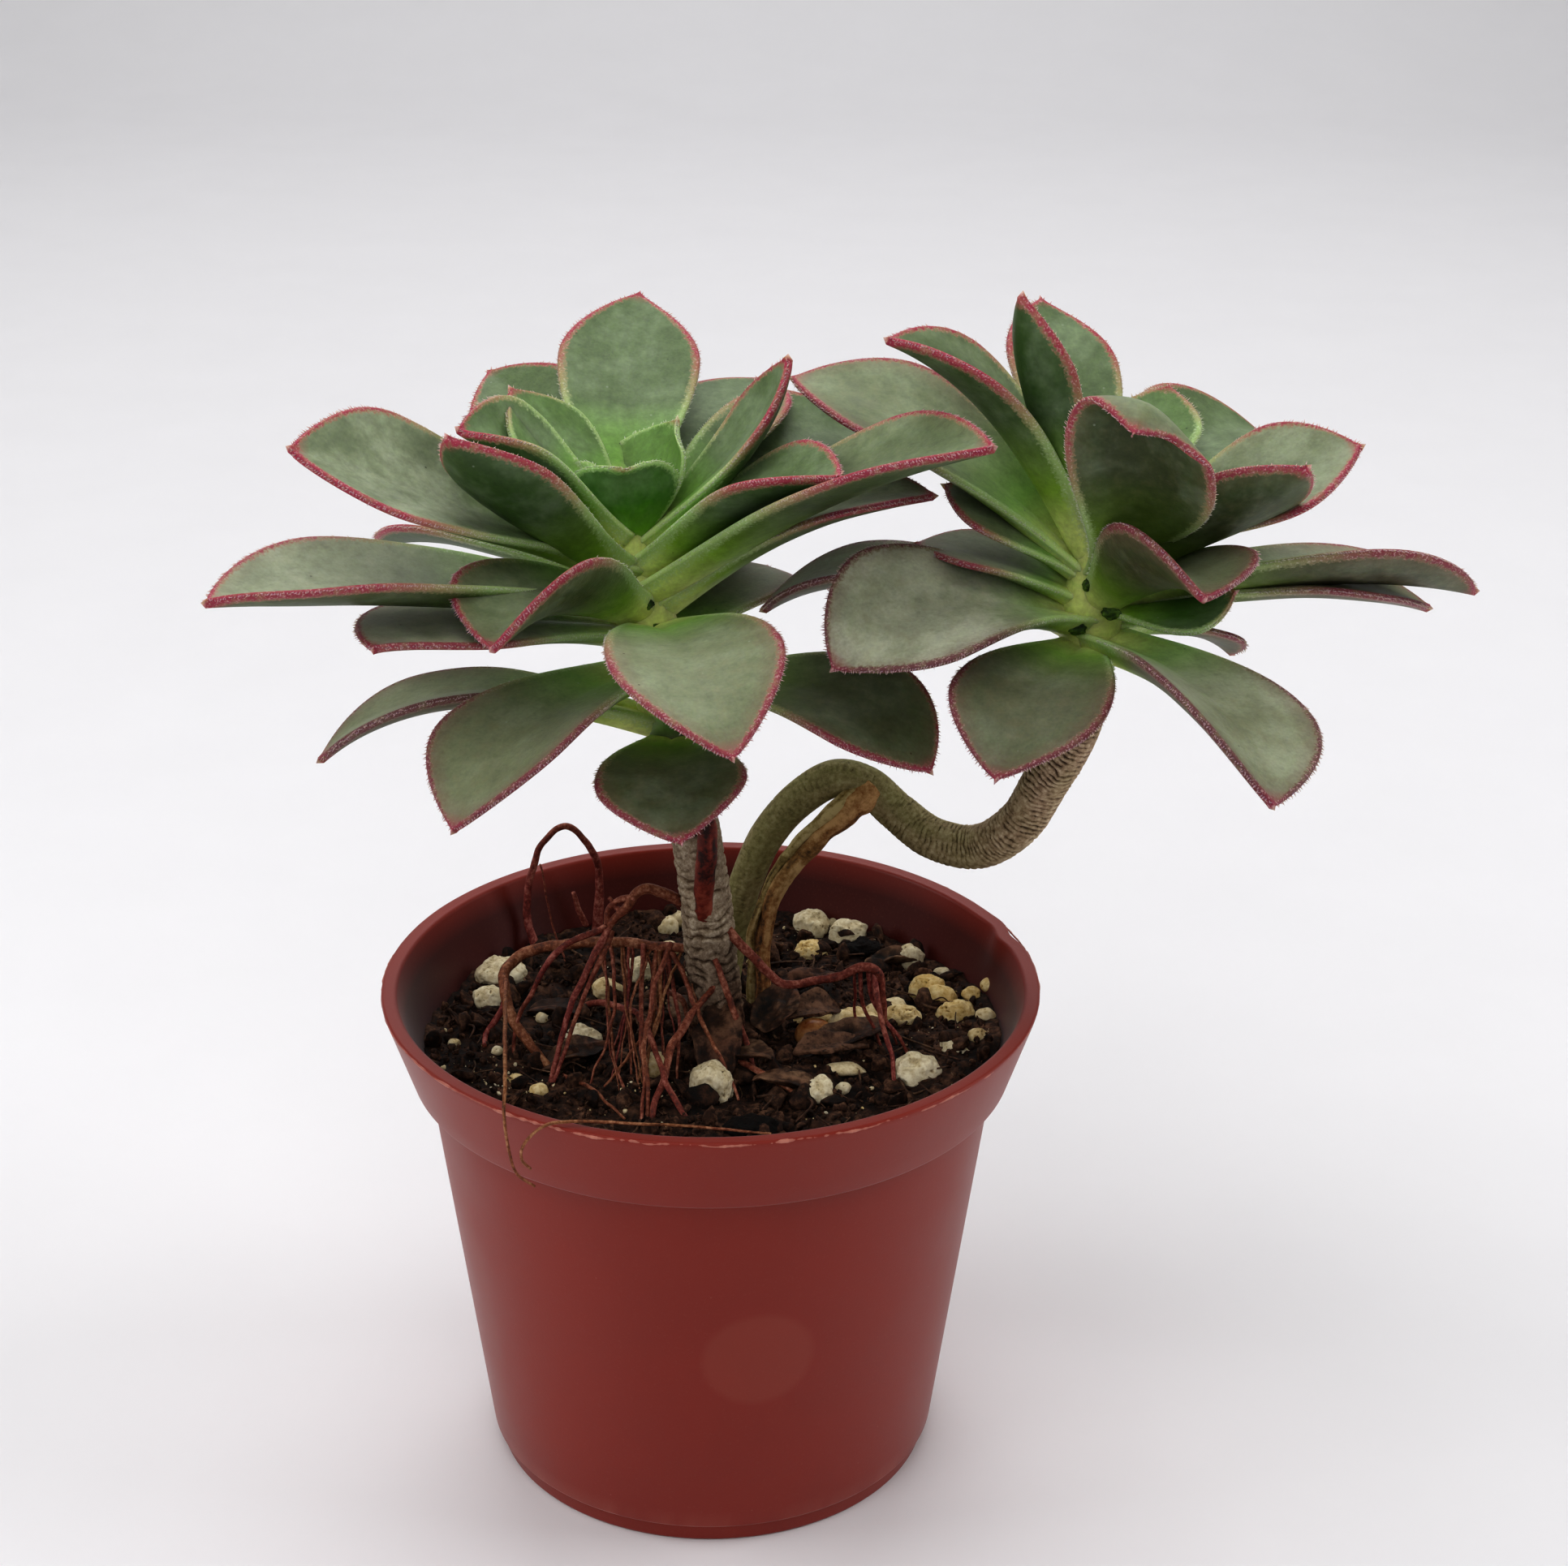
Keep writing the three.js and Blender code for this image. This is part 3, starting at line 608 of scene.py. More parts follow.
        # the specks are about a third of a millimetre across
        cells = grow(tree, Kind.CELLS, seen["place"], pitch(self.speck_spacing))
        near = grow(tree, Kind.SPAN, cells, 0.075, 0.03, 0.0, 1.0)
        chance = grow(tree, Kind.CHANNEL, cells.node.outputs["Color"])
        limy = grow(tree, Kind.PRODUCT, near, grow(tree, Kind.ABOVE, chance, 0.72))
        dirty = grow(tree, Kind.PRODUCT, near, grow(tree, Kind.ABOVE, chance.node.outputs["Green"], 0.8))
        face = grow(tree, Kind.BLEND, grow(tree, Kind.PRODUCT, limy, 0.5), face, self.bloom)
        return grow(tree, Kind.BLEND, grow(tree, Kind.PRODUCT, dirty, 0.7), face, self.dirt)

    def reddened(self, tree: Tree, seen: Sockets, face: Socket) -> Socket:
        """Draws the red margin: none at the stem, widest near the tip, and pale green on the youngest leaves.

        Args:
            tree: The node tree.
            seen: The marks and patterns.
            face: The colour of the face.

        Returns:
            The colour.
        """
        band = grow(tree, Kind.SPAN, seen["ragged_rim"], self.margin_width, self.margin_width * 0.3, 0.0, 1.0)
        face = grow(tree, Kind.BLEND, grow(tree, Kind.PRODUCT, band, 0.75), face, self.margin_young)
        young_start = grow(tree, Kind.SPAN, seen["age"], 0.1, 0.25, 1.15, 0.46)
        old_start = grow(tree, Kind.SPAN, seen["age"], 0.25, 0.9, 0.0, 0.2)
        first_red = grow(tree, Kind.LESS, young_start, old_start)
        share = grow(tree, Kind.SPAN, grow(tree, Kind.LESS, seen["along"], first_red), 0.0, 0.28, 0.0, 0.94)
        red = grow(tree, Kind.RAMP, seen["age"], stops=[(0.3, self.margin), (0.8, self.margin_old)])
        tinge = grow(tree, Kind.SPAN, seen["ragged_rim"], 3.2, 0.6, 0.0, 0.34)
        tinge = grow(tree, Kind.PRODUCT, tinge, grow(tree, Kind.SPAN, seen["age"], 0.3, 0.7, 0.0, 1.0))
        face = grow(tree, Kind.BLEND, grow(tree, Kind.PRODUCT, tinge, share), face, red)
        uneven = grow(tree, Kind.PRODUCT, band, grow(tree, Kind.SPAN, seen["mottles"], 0.32, 0.52, 0.75, 1.0))
        face = grow(tree, Kind.BLEND, grow(tree, Kind.PRODUCT, uneven, share), face, red)
        tip = grow(tree, Kind.SPAN, seen["along"], 0.95, 1.0, 0.0, 0.5)
        face = grow(tree, Kind.BLEND, tip, face, self.margin)

        # painted glints: pale specks on the red band stand for light glinting off the hairs
        sparkle = grow(tree, Kind.NOISE, seen["place"], pitch(self.sparkle), 1)
        glint = grow(tree, Kind.PRODUCT, band, grow(tree, Kind.SPAN, sparkle, 0.56, 0.68, 0.0, 0.45))
        glassy = grow(tree, Kind.BLEND, share, self.tooth, self.tooth_red)
        face = grow(tree, Kind.BLEND, glint, face, glassy)
        return grow(tree, Kind.BLEND, grow(tree, Kind.PRODUCT, seen["tooth"], 0.8), face, glassy)

    def material(self) -> Material:
        """Builds the leaf's material: a dull wax over flesh that lets a little light through.

        Returns:
            The material.
        """
        material, tree, shader = new_material("aeonium_leaf_waxy_cuticle")
        seen = self.patterns(tree)
        face = self.reddened(tree, seen, self.clouded(tree, seen, self.flesh(tree, seen)))
        tree.links.new(face, shader.inputs["Base Color"])
        dull = grow(tree, Kind.SPAN, seen["blotches"], *NOISE_RANGE, 0.42, 0.6)
        tree.links.new(dull, shader.inputs["Roughness"])
        shader.inputs["IOR"].default_value = 1.45
        shader.inputs["Specular IOR Level"].default_value = 0.3
        shader.inputs["Subsurface Weight"].default_value = 0.3
        shader.inputs["Subsurface Radius"].default_value = (0.5, 1.0, 0.15)
        shader.inputs["Subsurface Scale"].default_value = self.flesh_depth * MM
        height = grow(tree, Kind.SUM, seen["veins"], seen["fine"])
        tree.links.new(grow(tree, Kind.BUMP, 0.2, 0.15 * MM, height), shader.inputs["Normal"])
        return material


@dataclass(frozen=True)
class ReliefFinish:
    """Bark, root, soil or grit, coloured from the relief of its mesh: dark in the cracks, pale on the ridges.

    The dark cracks are partly painted shade and the pale ridges partly painted light, over the material's own
    colour.

    Attributes:
        name: The real material and how its surface was made.
        shades: Its colours in the cracks, between and on the ridges.
        other: A second set of colours, where the mesh's tone mark is 1; left out, the same ones.
        roughness: How matt it is.
        grain: Size of its fine grain, in millimetres.
        relief: Height of its fine grain, in millimetres.
        shine: Strength of its gloss.
    """

    name: str
    shades: tuple[str, str, str]
    other: tuple[str, str, str] | None = None
    roughness: float = 0.85
    grain: float = 0.6
    relief: float = 0.2
    shine: float = 0.25

    HEIGHTS = (0.22, 0.5, 0.78)

    def material(self) -> Material:
        """Builds the material from the mesh's marks and a fine grain.

        Returns:
            The material.
        """
        material, tree, shader = new_material(self.name)
        relief = grow(tree, Kind.MARK, attribute_name="relief")
        tone = grow(tree, Kind.MARK, attribute_name="tone")
        fine = grow(tree, Kind.NOISE, grow(tree, Kind.PLACE), pitch(self.grain), 5, 0.68)
        height = grow(tree, Kind.SUM, fine, relief)
        # partly painted: the crack colour is painted shade in the hollows, the ridge colour painted light on
        # the crests
        first = grow(tree, Kind.RAMP, height, stops=list(zip(self.HEIGHTS, self.shades)))
        second = grow(tree, Kind.RAMP, height, stops=list(zip(self.HEIGHTS, self.other or self.shades)))
        tree.links.new(grow(tree, Kind.BLEND, tone, first, second), shader.inputs["Base Color"])
        most = min(1.0, self.roughness + 0.1)
        dull = grow(tree, Kind.SPAN, fine, *NOISE_RANGE, self.roughness - 0.15, most)
        tree.links.new(dull, shader.inputs["Roughness"])
        shader.inputs["Specular IOR Level"].default_value = self.shine
        tree.links.new(grow(tree, Kind.BUMP, 0.6, self.relief * MM, fine), shader.inputs["Normal"])
        return material


@dataclass(frozen=True)
class PotFinish:
    """Injection-moulded polypropylene, terracotta coloured.

    The mould leaves a satin skin that catches pale reflections at the edges; handling leaves fine dust,
    pale specks and, on the trimmed lip, whitened scuffs.
    """

    body: str = "#8e2a1b"
    deep: str = "#822416"
    # the same plastic inside the pot, painted darker as painted shade
    inside: str = "#50120b"
    dust: str = "#a8604f"
    scuffed: str = "#c88472"
    cloud: float = 16.0
    grain: float = 0.35  # dust is finer than this; it is as coarse as it needs to show
    speck_spacing: float = 4.0

    PATCH = (6.6, -32.9, 30.5)  # the middle of a round dull patch on the front wall
    PATCH_RADIUS = (7.6, 6.4)  # where the patch starts and where it is full

    def material(self) -> Material:
        """Builds the pot's material.

        Returns:
            The material.
        """
        material, tree, shader = new_material("polypropylene_moulded_terracotta")
        place = grow(tree, Kind.PLACE)
        cloudy = grow(tree, Kind.NOISE, place, pitch(self.cloud), 3)
        fine = grow(tree, Kind.NOISE, place, pitch(self.grain), 4, 0.7)
        colour = grow(tree, Kind.BLEND, cloudy, self.deep, self.body)
        # painted shade: the inside of the pot is painted darker
        inner = grow(tree, Kind.MARK, attribute_name="inner")
        colour = grow(tree, Kind.BLEND, inner, colour, self.inside)
        specks = grow(tree, Kind.CELLS, place, pitch(self.speck_spacing))
        specks = grow(tree, Kind.SPAN, specks, 0.032, 0.016, 0.0, 0.5)
        dusted = grow(tree, Kind.LARGER, specks, grow(tree, Kind.SPAN, fine, 0.55, 0.8, 0.0, 0.16))
        colour = grow(tree, Kind.BLEND, dusted, colour, self.dust)
        away = grow(tree, Kind.DISTANCE, place, [v * MM for v in self.PATCH])
        start, full = (radius * MM for radius in self.PATCH_RADIUS)
        patch = grow(tree, Kind.SPAN, away, start, full, 0.0, 0.16)
        colour = grow(tree, Kind.BLEND, patch, colour, self.dust)
        scuff = grow(tree, Kind.MARK, attribute_name="scuff")
        colour = grow(tree, Kind.BLEND, scuff, colour, self.scuffed)
        tree.links.new(colour, shader.inputs["Base Color"])
        satin = grow(tree, Kind.SPAN, cloudy, *NOISE_RANGE, 0.4, 0.5)
        tree.links.new(satin, shader.inputs["Roughness"])
        shader.inputs["IOR"].default_value = 1.49
        shader.inputs["Specular IOR Level"].default_value = 0.32
        shader.inputs["Sheen Weight"].default_value = 0.2
        shader.inputs["Sheen Roughness"].default_value = 0.4
        tree.links.new(grow(tree, Kind.BUMP, 0.25, 0.04 * MM, fine), shader.inputs["Normal"])
        return material


@dataclass(frozen=True)
class PaperFinish:
    """Matt pale paper sweep under the pot: soft shadows, no gloss."""

    colour: str = "#ebeaec"
    tooth: float = 30.0

    def material(self) -> Material:
        """Builds the backdrop's material, with the faint tooth of paper.

        Returns:
            The material.
        """
        material, tree, shader = new_material("matt_paper_sweep")
        tooth = grow(tree, Kind.NOISE, grow(tree, Kind.PLACE), pitch(self.tooth), 4, 0.5)
        faint = grow(tree, Kind.SPAN, tooth, *NOISE_RANGE, 0.985, 1.0)
        tree.links.new(grow(tree, Kind.TINT, 1.0, faint, self.colour), shader.inputs["Base Color"])
        shader.inputs["Roughness"].default_value = 0.9
        return material


# ---------------------------------------------------------------- leaves


@dataclass(frozen=True)
class Leaf:
    """One fleshy leaf, in millimetres and degrees.

    Attributes:
        height: How high above the table it leaves the shoot.
        heading: Where it points, turning from +X towards +Y; 270 faces the viewer.
        rise: Its angle above the horizontal where it leaves the shoot.
        length: Its length along the midrib.
        width: Its greatest width.
        droop: How far it bends down by its tip.
        cup: How far its margins lift into a channel.
        roll: How far it twists about its own length.
        sweep: How far it bends sideways by its tip.
        curl: How far the last part bends back towards the leaf's underside.
        painted_shade: How dark green its upper face is painted, from 0 to 1: painted shade for a leaf that
            lies in the other leaves' shade.
        chalk: How far its upper face is whitened, from 0 to 1: partly a thicker chalky bloom,
        partly painted light on a leaf that the other leaves shade.
    """

    height: float
    heading: float
    rise: float
    length: float
    width: float
    droop: float = 0.0
    cup: float = 0.2
    roll: float = 0.0
    sweep: float = 0.0
    curl: float = 0.0
    painted_shade: float = 0.0
    chalk: float = 0.0

    WIDEST = 0.68
    CURL_START = 0.7
    NECK = 0.3
    PETIOLE_THICKNESS = 2.9
    TIP_THICKNESS = 1.0
    EDGE = 0.85
    STATIONS = 44
    ACROSS = 13
    CAP = 5
    TOOTH_SPACING = 0.35
    TOOTH_LENGTH = 0.42
    TOOTH_RADIUS = 0.11
    TOOTH_ROOT = 0.12  # how far each tooth is sunk into the margin
    FULL_GROWN = 28.0  # the length from which a leaf is fully fleshy
    PUFF = 0.35  # how far each half of the upper face swells
    CREASE = 0.4  # depth of the groove over the midrib
    CREASE_SPREAD = 0.16
    KEEL = 0.3  # height of the ridge under the midrib
    KEEL_SPREAD = 0.2
    WAVE = 0.5  # how far the margins wave up and down
    WAVE_LENGTH = 9.0

    def outline(self, t: Array) -> Array:
        """Half-width at t as a share of the greatest: slim petiole, spoon-shaped blade, short point."""
        grown = np.clip(t / self.WIDEST, 0, 1)
        petiole = self.NECK + (1 - self.NECK) * grown**2 * (3 - 2 * grown)
        beyond = np.clip((t - self.WIDEST) / (1 - self.WIDEST), 0, 1)
        blade = np.maximum(np.cos(math.pi / 2 * beyond) ** 0.85, 0.02)
        return np.where(t < self.WIDEST, petiole, blade)

    def direction(self, t: Array) -> Array:
        """The way the midrib runs at each t."""
        heading = math.radians(self.heading)
        outward = np.array([math.cos(heading), math.sin(heading), 0.0])
        sideways = np.array([-outward[1], outward[0], 0.0])
        curled = np.clip((t - self.CURL_START) / (1 - self.CURL_START), 0, 1)
        pitch = np.radians(self.rise - self.droop * t**2 - self.curl * curled**2 * (3 - 2 * curled))[:, None]
        turn = (math.radians(self.sweep) * t**1.5)[:, None]
        ahead = outward * np.cos(pitch) * np.cos(turn)
        return ahead + UP * np.sin(pitch) + sideways * np.cos(pitch) * np.sin(turn)

    def axes(self, root: Array) -> tuple[Array, Array, Array, Array, Array]:
        """Lays out the midrib and the way the blade faces along it.

        Args:
            root: Where the midrib meets the shoot.

        Returns:
            The share of the length at each station, closer together towards the tip; the station's place;
            and the ways forwards, sideways and up from the blade there.
        """
        share = np.linspace(0, 1, self.STATIONS)
        t = share * (1.45 - 0.45 * share)
        middle = (t[1:] + t[:-1]) / 2
        steps = self.direction(middle) * (np.diff(t) * self.length)[:, None]
        centre = root + np.vstack([np.zeros(3), np.cumsum(steps, axis=0)])
        forward = self.direction(t)
        across = unit(np.cross(UP, forward))
        above = np.cross(forward, across)
        twist = (math.radians(self.roll) * t**0.7)[:, None]
        side = across * np.cos(twist) + above * np.sin(twist)
        top = above * np.cos(twist) - across * np.sin(twist)
        return t, centre, forward, side, top

    def surface(self, v: Array, t: Array, half: Array, seed: int) -> tuple[Array, Array, Array]:
        """Shapes the upper face across each station: cupped, with waved margins.

        Args:
            v: Places across, from -1 at one margin to 1 at the other.
            t: The share of the length at each station.
            half: Half the width there.
            seed: Picks the waves.

        Returns:
            Where each place lies in the section, and the section's tangent and normal there.
        """
        squeeze = np.sqrt(np.maximum(0.15, 1 - 0.6 * (self.cup * v) ** 2))
        x = half[:, None] * v * squeeze
        y = half[:, None] * self.cup * np.abs(v) ** 1.6
        run = t[:, None] * self.length / self.WAVE_LENGTH
        drift = np.stack([run + 0 * v, np.sign(v) * 2 + 0 * x, 0 * x], axis=-1)
        y = y + self.WAVE * np.abs(v) * t[:, None] * lumps(drift, 1.0, seed)
        slope = half[:, None] * self.cup * 1.6 * np.abs(v) ** 0.6 * np.sign(v) / half[:, None]
        tangent = unit(np.stack([np.ones_like(x), slope + 0 * x], axis=-1))
        normal = np.stack([-tangent[..., 1], tangent[..., 0]], axis=-1)
        return np.stack([x, y], axis=-1), tangent, normal

    def shell(self, root: Array, age: float, random: Random) -> Shell:
        """Builds the leaf with its toothed margins.

        Args:
            root: Where its midrib meets the shoot.
            age: 0 for the youngest leaf of the rosette and 1 for the oldest.
            random: The random numbers.

        Returns:
            The leaf's blade and teeth, with their marks.
        """
        t, centre, forward, side, top = self.axes(root)
        half = self.width / 2 * self.outline(t)
        fleshy = min(1.0, self.length / self.FULL_GROWN)
        thick = fleshy * (self.PETIOLE_THICKNESS + (self.TIP_THICKNESS - self.PETIOLE_THICKNESS) * t)
        edge = np.minimum(np.minimum(self.EDGE * fleshy**0.5, thick), half * 1.1)
        seed = int(random.integers(1000))
        tone = float(random.random())

        rim_v = np.maximum(1 - edge / (2 * half), 0.3)[:, None]
        v = np.linspace(-1, 1, self.ACROSS)[None] * rim_v
        place, _, normal = self.surface(v, t, half, seed)
        inside = np.abs(v) / rim_v
        puff = self.PUFF * fleshy * (1 - inside**2) * t[:, None] * (1 - t[:, None]) * 4
        crease = self.CREASE * fleshy * np.exp(-((inside / self.CREASE_SPREAD) ** 2)) * (1 - t[:, None])
        upper = place + normal * (puff - crease)[..., None]
        depth = edge[:, None] + (thick - edge)[:, None] * np.maximum(1 - inside**2, 0) ** 0.8
        keel = self.KEEL * fleshy * np.exp(-((inside / self.KEEL_SPREAD) ** 2)) * (1 - t[:, None])
        lower = place - normal * (depth + keel)[..., None]

        tilt = np.radians(np.linspace(60, -60, self.CAP))[None, :, None]
        caps = {}
        for sign in (1, -1):
            rim_place, tangent, normal = self.surface(sign * rim_v, t, half, seed)
            round_off = edge[:, None, None] / 2
            hub = rim_place - normal * round_off
            caps[sign] = hub + sign * tangent * round_off * np.cos(tilt) + normal * round_off * np.sin(tilt)
        section = np.concatenate([upper, caps[1], lower[:, ::-1], caps[-1][:, ::-1]], axis=1)
        rings = centre[:, None] + section[..., :1] * side[:, None] + section[..., 1:] * top[:, None]

        apex = rings[-1].mean(axis=0) + forward[-1] * 0.7
        shell = skin(rings, (rings[0].mean(axis=0), apex))
        inner_rim = half[:, None] * (rim_v - np.abs(v)) + edge[:, None] * 0.3
        cap_rim = np.zeros((self.STATIONS, self.CAP))
        rim = np.concatenate([inner_rim, cap_rim, inner_rim[:, ::-1], cap_rim], axis=1)
        rim = np.minimum(rim, ((1 - t) * self.length * 0.7)[:, None] + 0.1)
        ones = np.ones((self.STATIONS, self.ACROSS))
        fade = np.broadcast_to(np.linspace(1, 0, self.CAP + 2)[1:-1], (self.STATIONS, self.CAP))
        # painted shade: a leaf in the other leaves' shade gets the underside's dark greens on its upper face,
        # and younger, greener colours
        upper_mark = np.concatenate([ones, fade, 0 * ones, fade[:, ::-1]], axis=1) * (1 - self.painted_shade)
        age = age * (1 - 0.6 * self.painted_shade)
        along = np.broadcast_to(t[:, None], rim.shape)
        width_place = section[..., 0]
        tips = np.zeros(rim.size + 2)
        tips[-1] = 1
        shell.marked(
            rim=np.append(rim.ravel(), [9, 0]),
            upper=np.append(upper_mark.ravel(), [0.5, 0.5]),
            along=np.append(along.ravel(), [0, 1]),
            across=np.append(width_place.ravel(), [0, 0]),
            tooth=tips,
            chalk=self.chalk,
            age=age,
            tone=tone,
        )
        teeth = [
            self.teeth(rings[:, self.ACROSS + self.CAP // 2], side, top, t, random),
            self.teeth(rings[:, -1 - self.CAP // 2], -side, top, t, random),
        ]
        return Shell.join([shell, *(each.marked(age=age, tone=tone) for each in teeth)])

    def teeth(self, margin: Array, out: Array, top: Array, t: Array, random: Random) -> Shell:
        """Sets a row of short glassy teeth along one margin, each leaning towards the tip.

        Args:
            margin: The margin's outermost line.
            out: Which way is outwards at each of its points.
            top: Which way is up from the blade at each of its points.
            t: How far along the leaf each point lies.
            random: The random numbers.

        Returns:
            The teeth as one shell of small spikes.
        """
        travelled = np.concatenate([[0], np.cumsum(np.linalg.norm(np.diff(margin, axis=0), axis=1))])
        count = max(4, int(travelled[-1] * 0.86 / self.TOOTH_SPACING))
        wanted = travelled[-1] * (0.14 + 0.86 * (np.arange(count) + 0.4 * random.random(count)) / count)

        def at(values: Array) -> Array:
            """Reads a row of vectors at the teeth's places."""
            return np.column_stack([np.interp(wanted, travelled, values[:, k]) for k in range(3)])

        run = unit(np.gradient(margin, axis=0))
        foot, run, out, top = at(margin), unit(at(run)), unit(at(out)), unit(at(top))
        lean = unit(out + 0.75 * run + 0.25 * random.normal(size=(count, 3)))
        length = self.TOOTH_LENGTH * (0.6 + 0.7 * random.random(count))[:, None]
        width = self.TOOTH_RADIUS * (0.8 + 0.5 * random.random(count))[:, None]
        base = foot - out * self.TOOTH_ROOT
        corners = [base + run * width, base + top * width, base - run * width, base - top * width]
        points = np.stack([*corners, base + lean * (length + self.TOOTH_ROOT)], axis=1)
        first = (np.arange(count) * 5)[:, None]
        sides = [np.column_stack([first + a, first + (a + 1) % 4, first + 4]) for a in range(4)]
        floor = first + np.array([[3, 2, 1, 0]])
        shell = Shell(points.reshape(-1, 3), [np.vstack(sides), floor]).outward()
        glassy = np.tile([0.5, 0.5, 0.5, 0.5, 1.0], count)
        return shell.marked(tooth=glassy, along=np.repeat(np.interp(wanted, travelled, t), 5), upper=0.6)


@dataclass(frozen=True)
class Rosette:
    """A green shoot with its leaves, from the oldest at the bottom to the youngest at the growing point."""

    node: str
    foot: Point
    crown: Point
    shoot_radii: tuple[float, float, float]
    leaves: tuple[Leaf, ...]
    scars: tuple[tuple[Point, Point], ...]
    seed: int

    # healed over: a dark, puckered mark on the green shoot, its darkness partly painted shade for the gaps
    # between the lower leaf bases
    SCAR = ReliefFinish("leaf_scar_and_painted_shade", ("#0e1804", "#2c4410", "#5c7c28"), roughness=0.7)
    GROWN_LENGTH = 30.0
    GROWN_AGE = 0.25

    def on_shoot(self, height: float) -> Array:
        """The shoot's middle at a height above the table."""
        foot, crown = np.array(self.foot), np.array(self.crown)
        return foot + (crown - foot) * (height - foot[2]) / (crown[2] - foot[2])

    def shoot(self) -> Shell:
        """Builds the short green shoot, swollen where each leaf leaves it.

        Returns:
            The shoot's shell.
        """
        line = follow([self.foot, self.on_shoot((self.foot[2] + self.crown[2]) / 2), self.crown], 90)
        radius = np.interp(np.linspace(0, 2, 90), [0, 1, 2], self.shoot_radii)[:, None]
        turn = turns(48)
        around = np.stack(np.broadcast_arrays(line[:, None, 2], 5 * np.cos(turn), 5 * np.sin(turn)), axis=-1)
        shell = tube(line, radius + 0.35 * crumpled(around, 4.0, self.seed), 48)
        ringed = np.abs(np.sin(line[:, 2] * 1.1 + 0.6 * lumps(line, 3, 4))) ** 6
        age = np.interp(line[:, 2], [self.foot[2], self.foot[2] + 9], [1.0, 0.4])
        barky = np.interp(line[:, 2], [self.foot[2], self.foot[2] + 8], [0.75, 0.05])
        return shell.marked(
            rim=9,
            upper=1,
            along=np.append(np.repeat(barky + 0.1 * ringed, 48), [0.1, 0.1]),
            across=0,
            tooth=0,
            chalk=0,
            age=np.append(np.repeat(age, 48), [1, 0.4]),
            tone=0.5,
        )

    def dress(self, material: Material) -> bpy.types.Object:
        """Builds the whole rosette as one piece.

        Args:
            material: The leaf finish.

        Returns:
            The rosette's object.
        """
        random = np.random.default_rng(self.seed)
        heights = [leaf.height for leaf in self.leaves]
        lowest, highest = min(heights), max(heights)
        shells = [self.shoot()]
        for leaf in self.leaves:
            age = max((highest - leaf.height) / (highest - lowest), self.GROWN_AGE)
            age *= min(1.0, leaf.length / self.GROWN_LENGTH)
            shells.append(leaf.shell(self.on_shoot(leaf.height), age, random))
        return Shell.join(shells).piece(self.node + "_leaves", material, Slot.LEAF, [self.node])

    def dress_scars(self) -> None:
        """Marks where lost leaves grew with small dark puckered scars, partly painted shade between leaf
        bases.
        """
        shells = []
        for k, (place, size) in enumerate(self.scars):
            shell = ball(4)
            puckered = crumpled(shell.points * [1, 1, 2], 0.8, self.seed + k)
            shell.points = shell.points * (1 + 0.35 * puckered)[:, None] * np.array(size) / 2 + place
            shells.append(shell.marked(relief=0.45 * puckered, tone=0))
        Shell.join(shells).piece(self.node + "_scars", self.SCAR.material(), Slot.LEAF)


LEFT_ROSETTE = Rosette(
    node="left_rosette",
    foot=(-4, 0, 98),
    crown=(-11, 0, 131),
    shoot_radii=(3.3, 3.9, 2),
    scars=(((-7.8, -3.6, 119.4), (2.4, 1.4, 1.6)), ((-6.2, -3.4, 116.2), (1.6, 1.2, 1.2))),
    seed=5,
    leaves=(
        # the lowest leaves, far apart on the stem
        Leaf(101, 268, 12, 31, 18, 42, 0.1, 4, 15, painted_shade=0.8),
        Leaf(103, 189, 18, 46, 16, 62, 0.2, 12, 8),
        Leaf(107, 345, 12, 38, 19, 60, 0.15, 11, -20, painted_shade=0.6),
        Leaf(110.5, 232, 2, 40, 21, 48, 0.25, 10, 3),
        Leaf(112, 62, 14, 30, 17, 30, 0.1),
        Leaf(113, 112, 10, 40, 18, 30, 0.15),
        # the spreading outer leaves
        Leaf(115.3, 281, 19, 48, 20, 52, 0.25, 8, 8),
        Leaf(115, 200, 12, 41, 20, 8, 0.05, 0, 48, chalk=0.7),
        Leaf(116, 80, 14, 42, 19, 26, 0.15),
        Leaf(117.5, 4, 36, 39, 17, 41, 0.25, 3, -3),
        Leaf(118, 231, 23, 32, 20, 46, 0.55, 17, 18),
        Leaf(119, 203, 11, 56, 21, 5, 0.36, 0, 17, chalk=0.52),
        Leaf(120, 338, 35, 52, 20, 20, 0.34, 10, -8),
        Leaf(121, 147, 7, 42, 17, 32, 0.2, 12),
        # the rising inner leaves
        Leaf(123, 200, 25, 46, 22, -2, 0.28, -28, 9, chalk=0.4),
        Leaf(123.2, 228, 30, 36, 15, -25, 0.3, 22, -7),
        Leaf(123.2, 337, 36, 33, 16, 20, 0.45, 8, -17),
        Leaf(123.8, 44, 25, 42, 19, 40, 0.26, 20),
        Leaf(124.8, 66, 25, 40, 19, 21, 0.18, -5),
        Leaf(124.8, 121, 28, 38, 17, 17, 0.17, -24, 7),
        Leaf(125.8, 11, 36, 30, 13, -40, 0.26),
        Leaf(127.5, 94, 28, 42, 18, -2, 0.18, 6, -11),
        Leaf(127, 190, 40, 25, 18.5, 9, 0.5, -8, 16),
        Leaf(127.4, 149, 40.5, 22.3, 17.5, -12, 0.15, 6, 6),
        # the youngest leaves round the growing point
        Leaf(125, 263.5, 69, 13, 13.7, -19.5, 0.4, 14, curl=49),
        Leaf(126, 64.6, 39.5, 16.8, 17.2, -33, 0.33, -29, -18),
        Leaf(129, 165, 34, 10, 8, 0, 0.4),
        Leaf(130, 30, 50, 7, 5, 0, 0.4),
        Leaf(130.5, 250, 60, 5, 4.5, 0, 0.4),
    ),
)

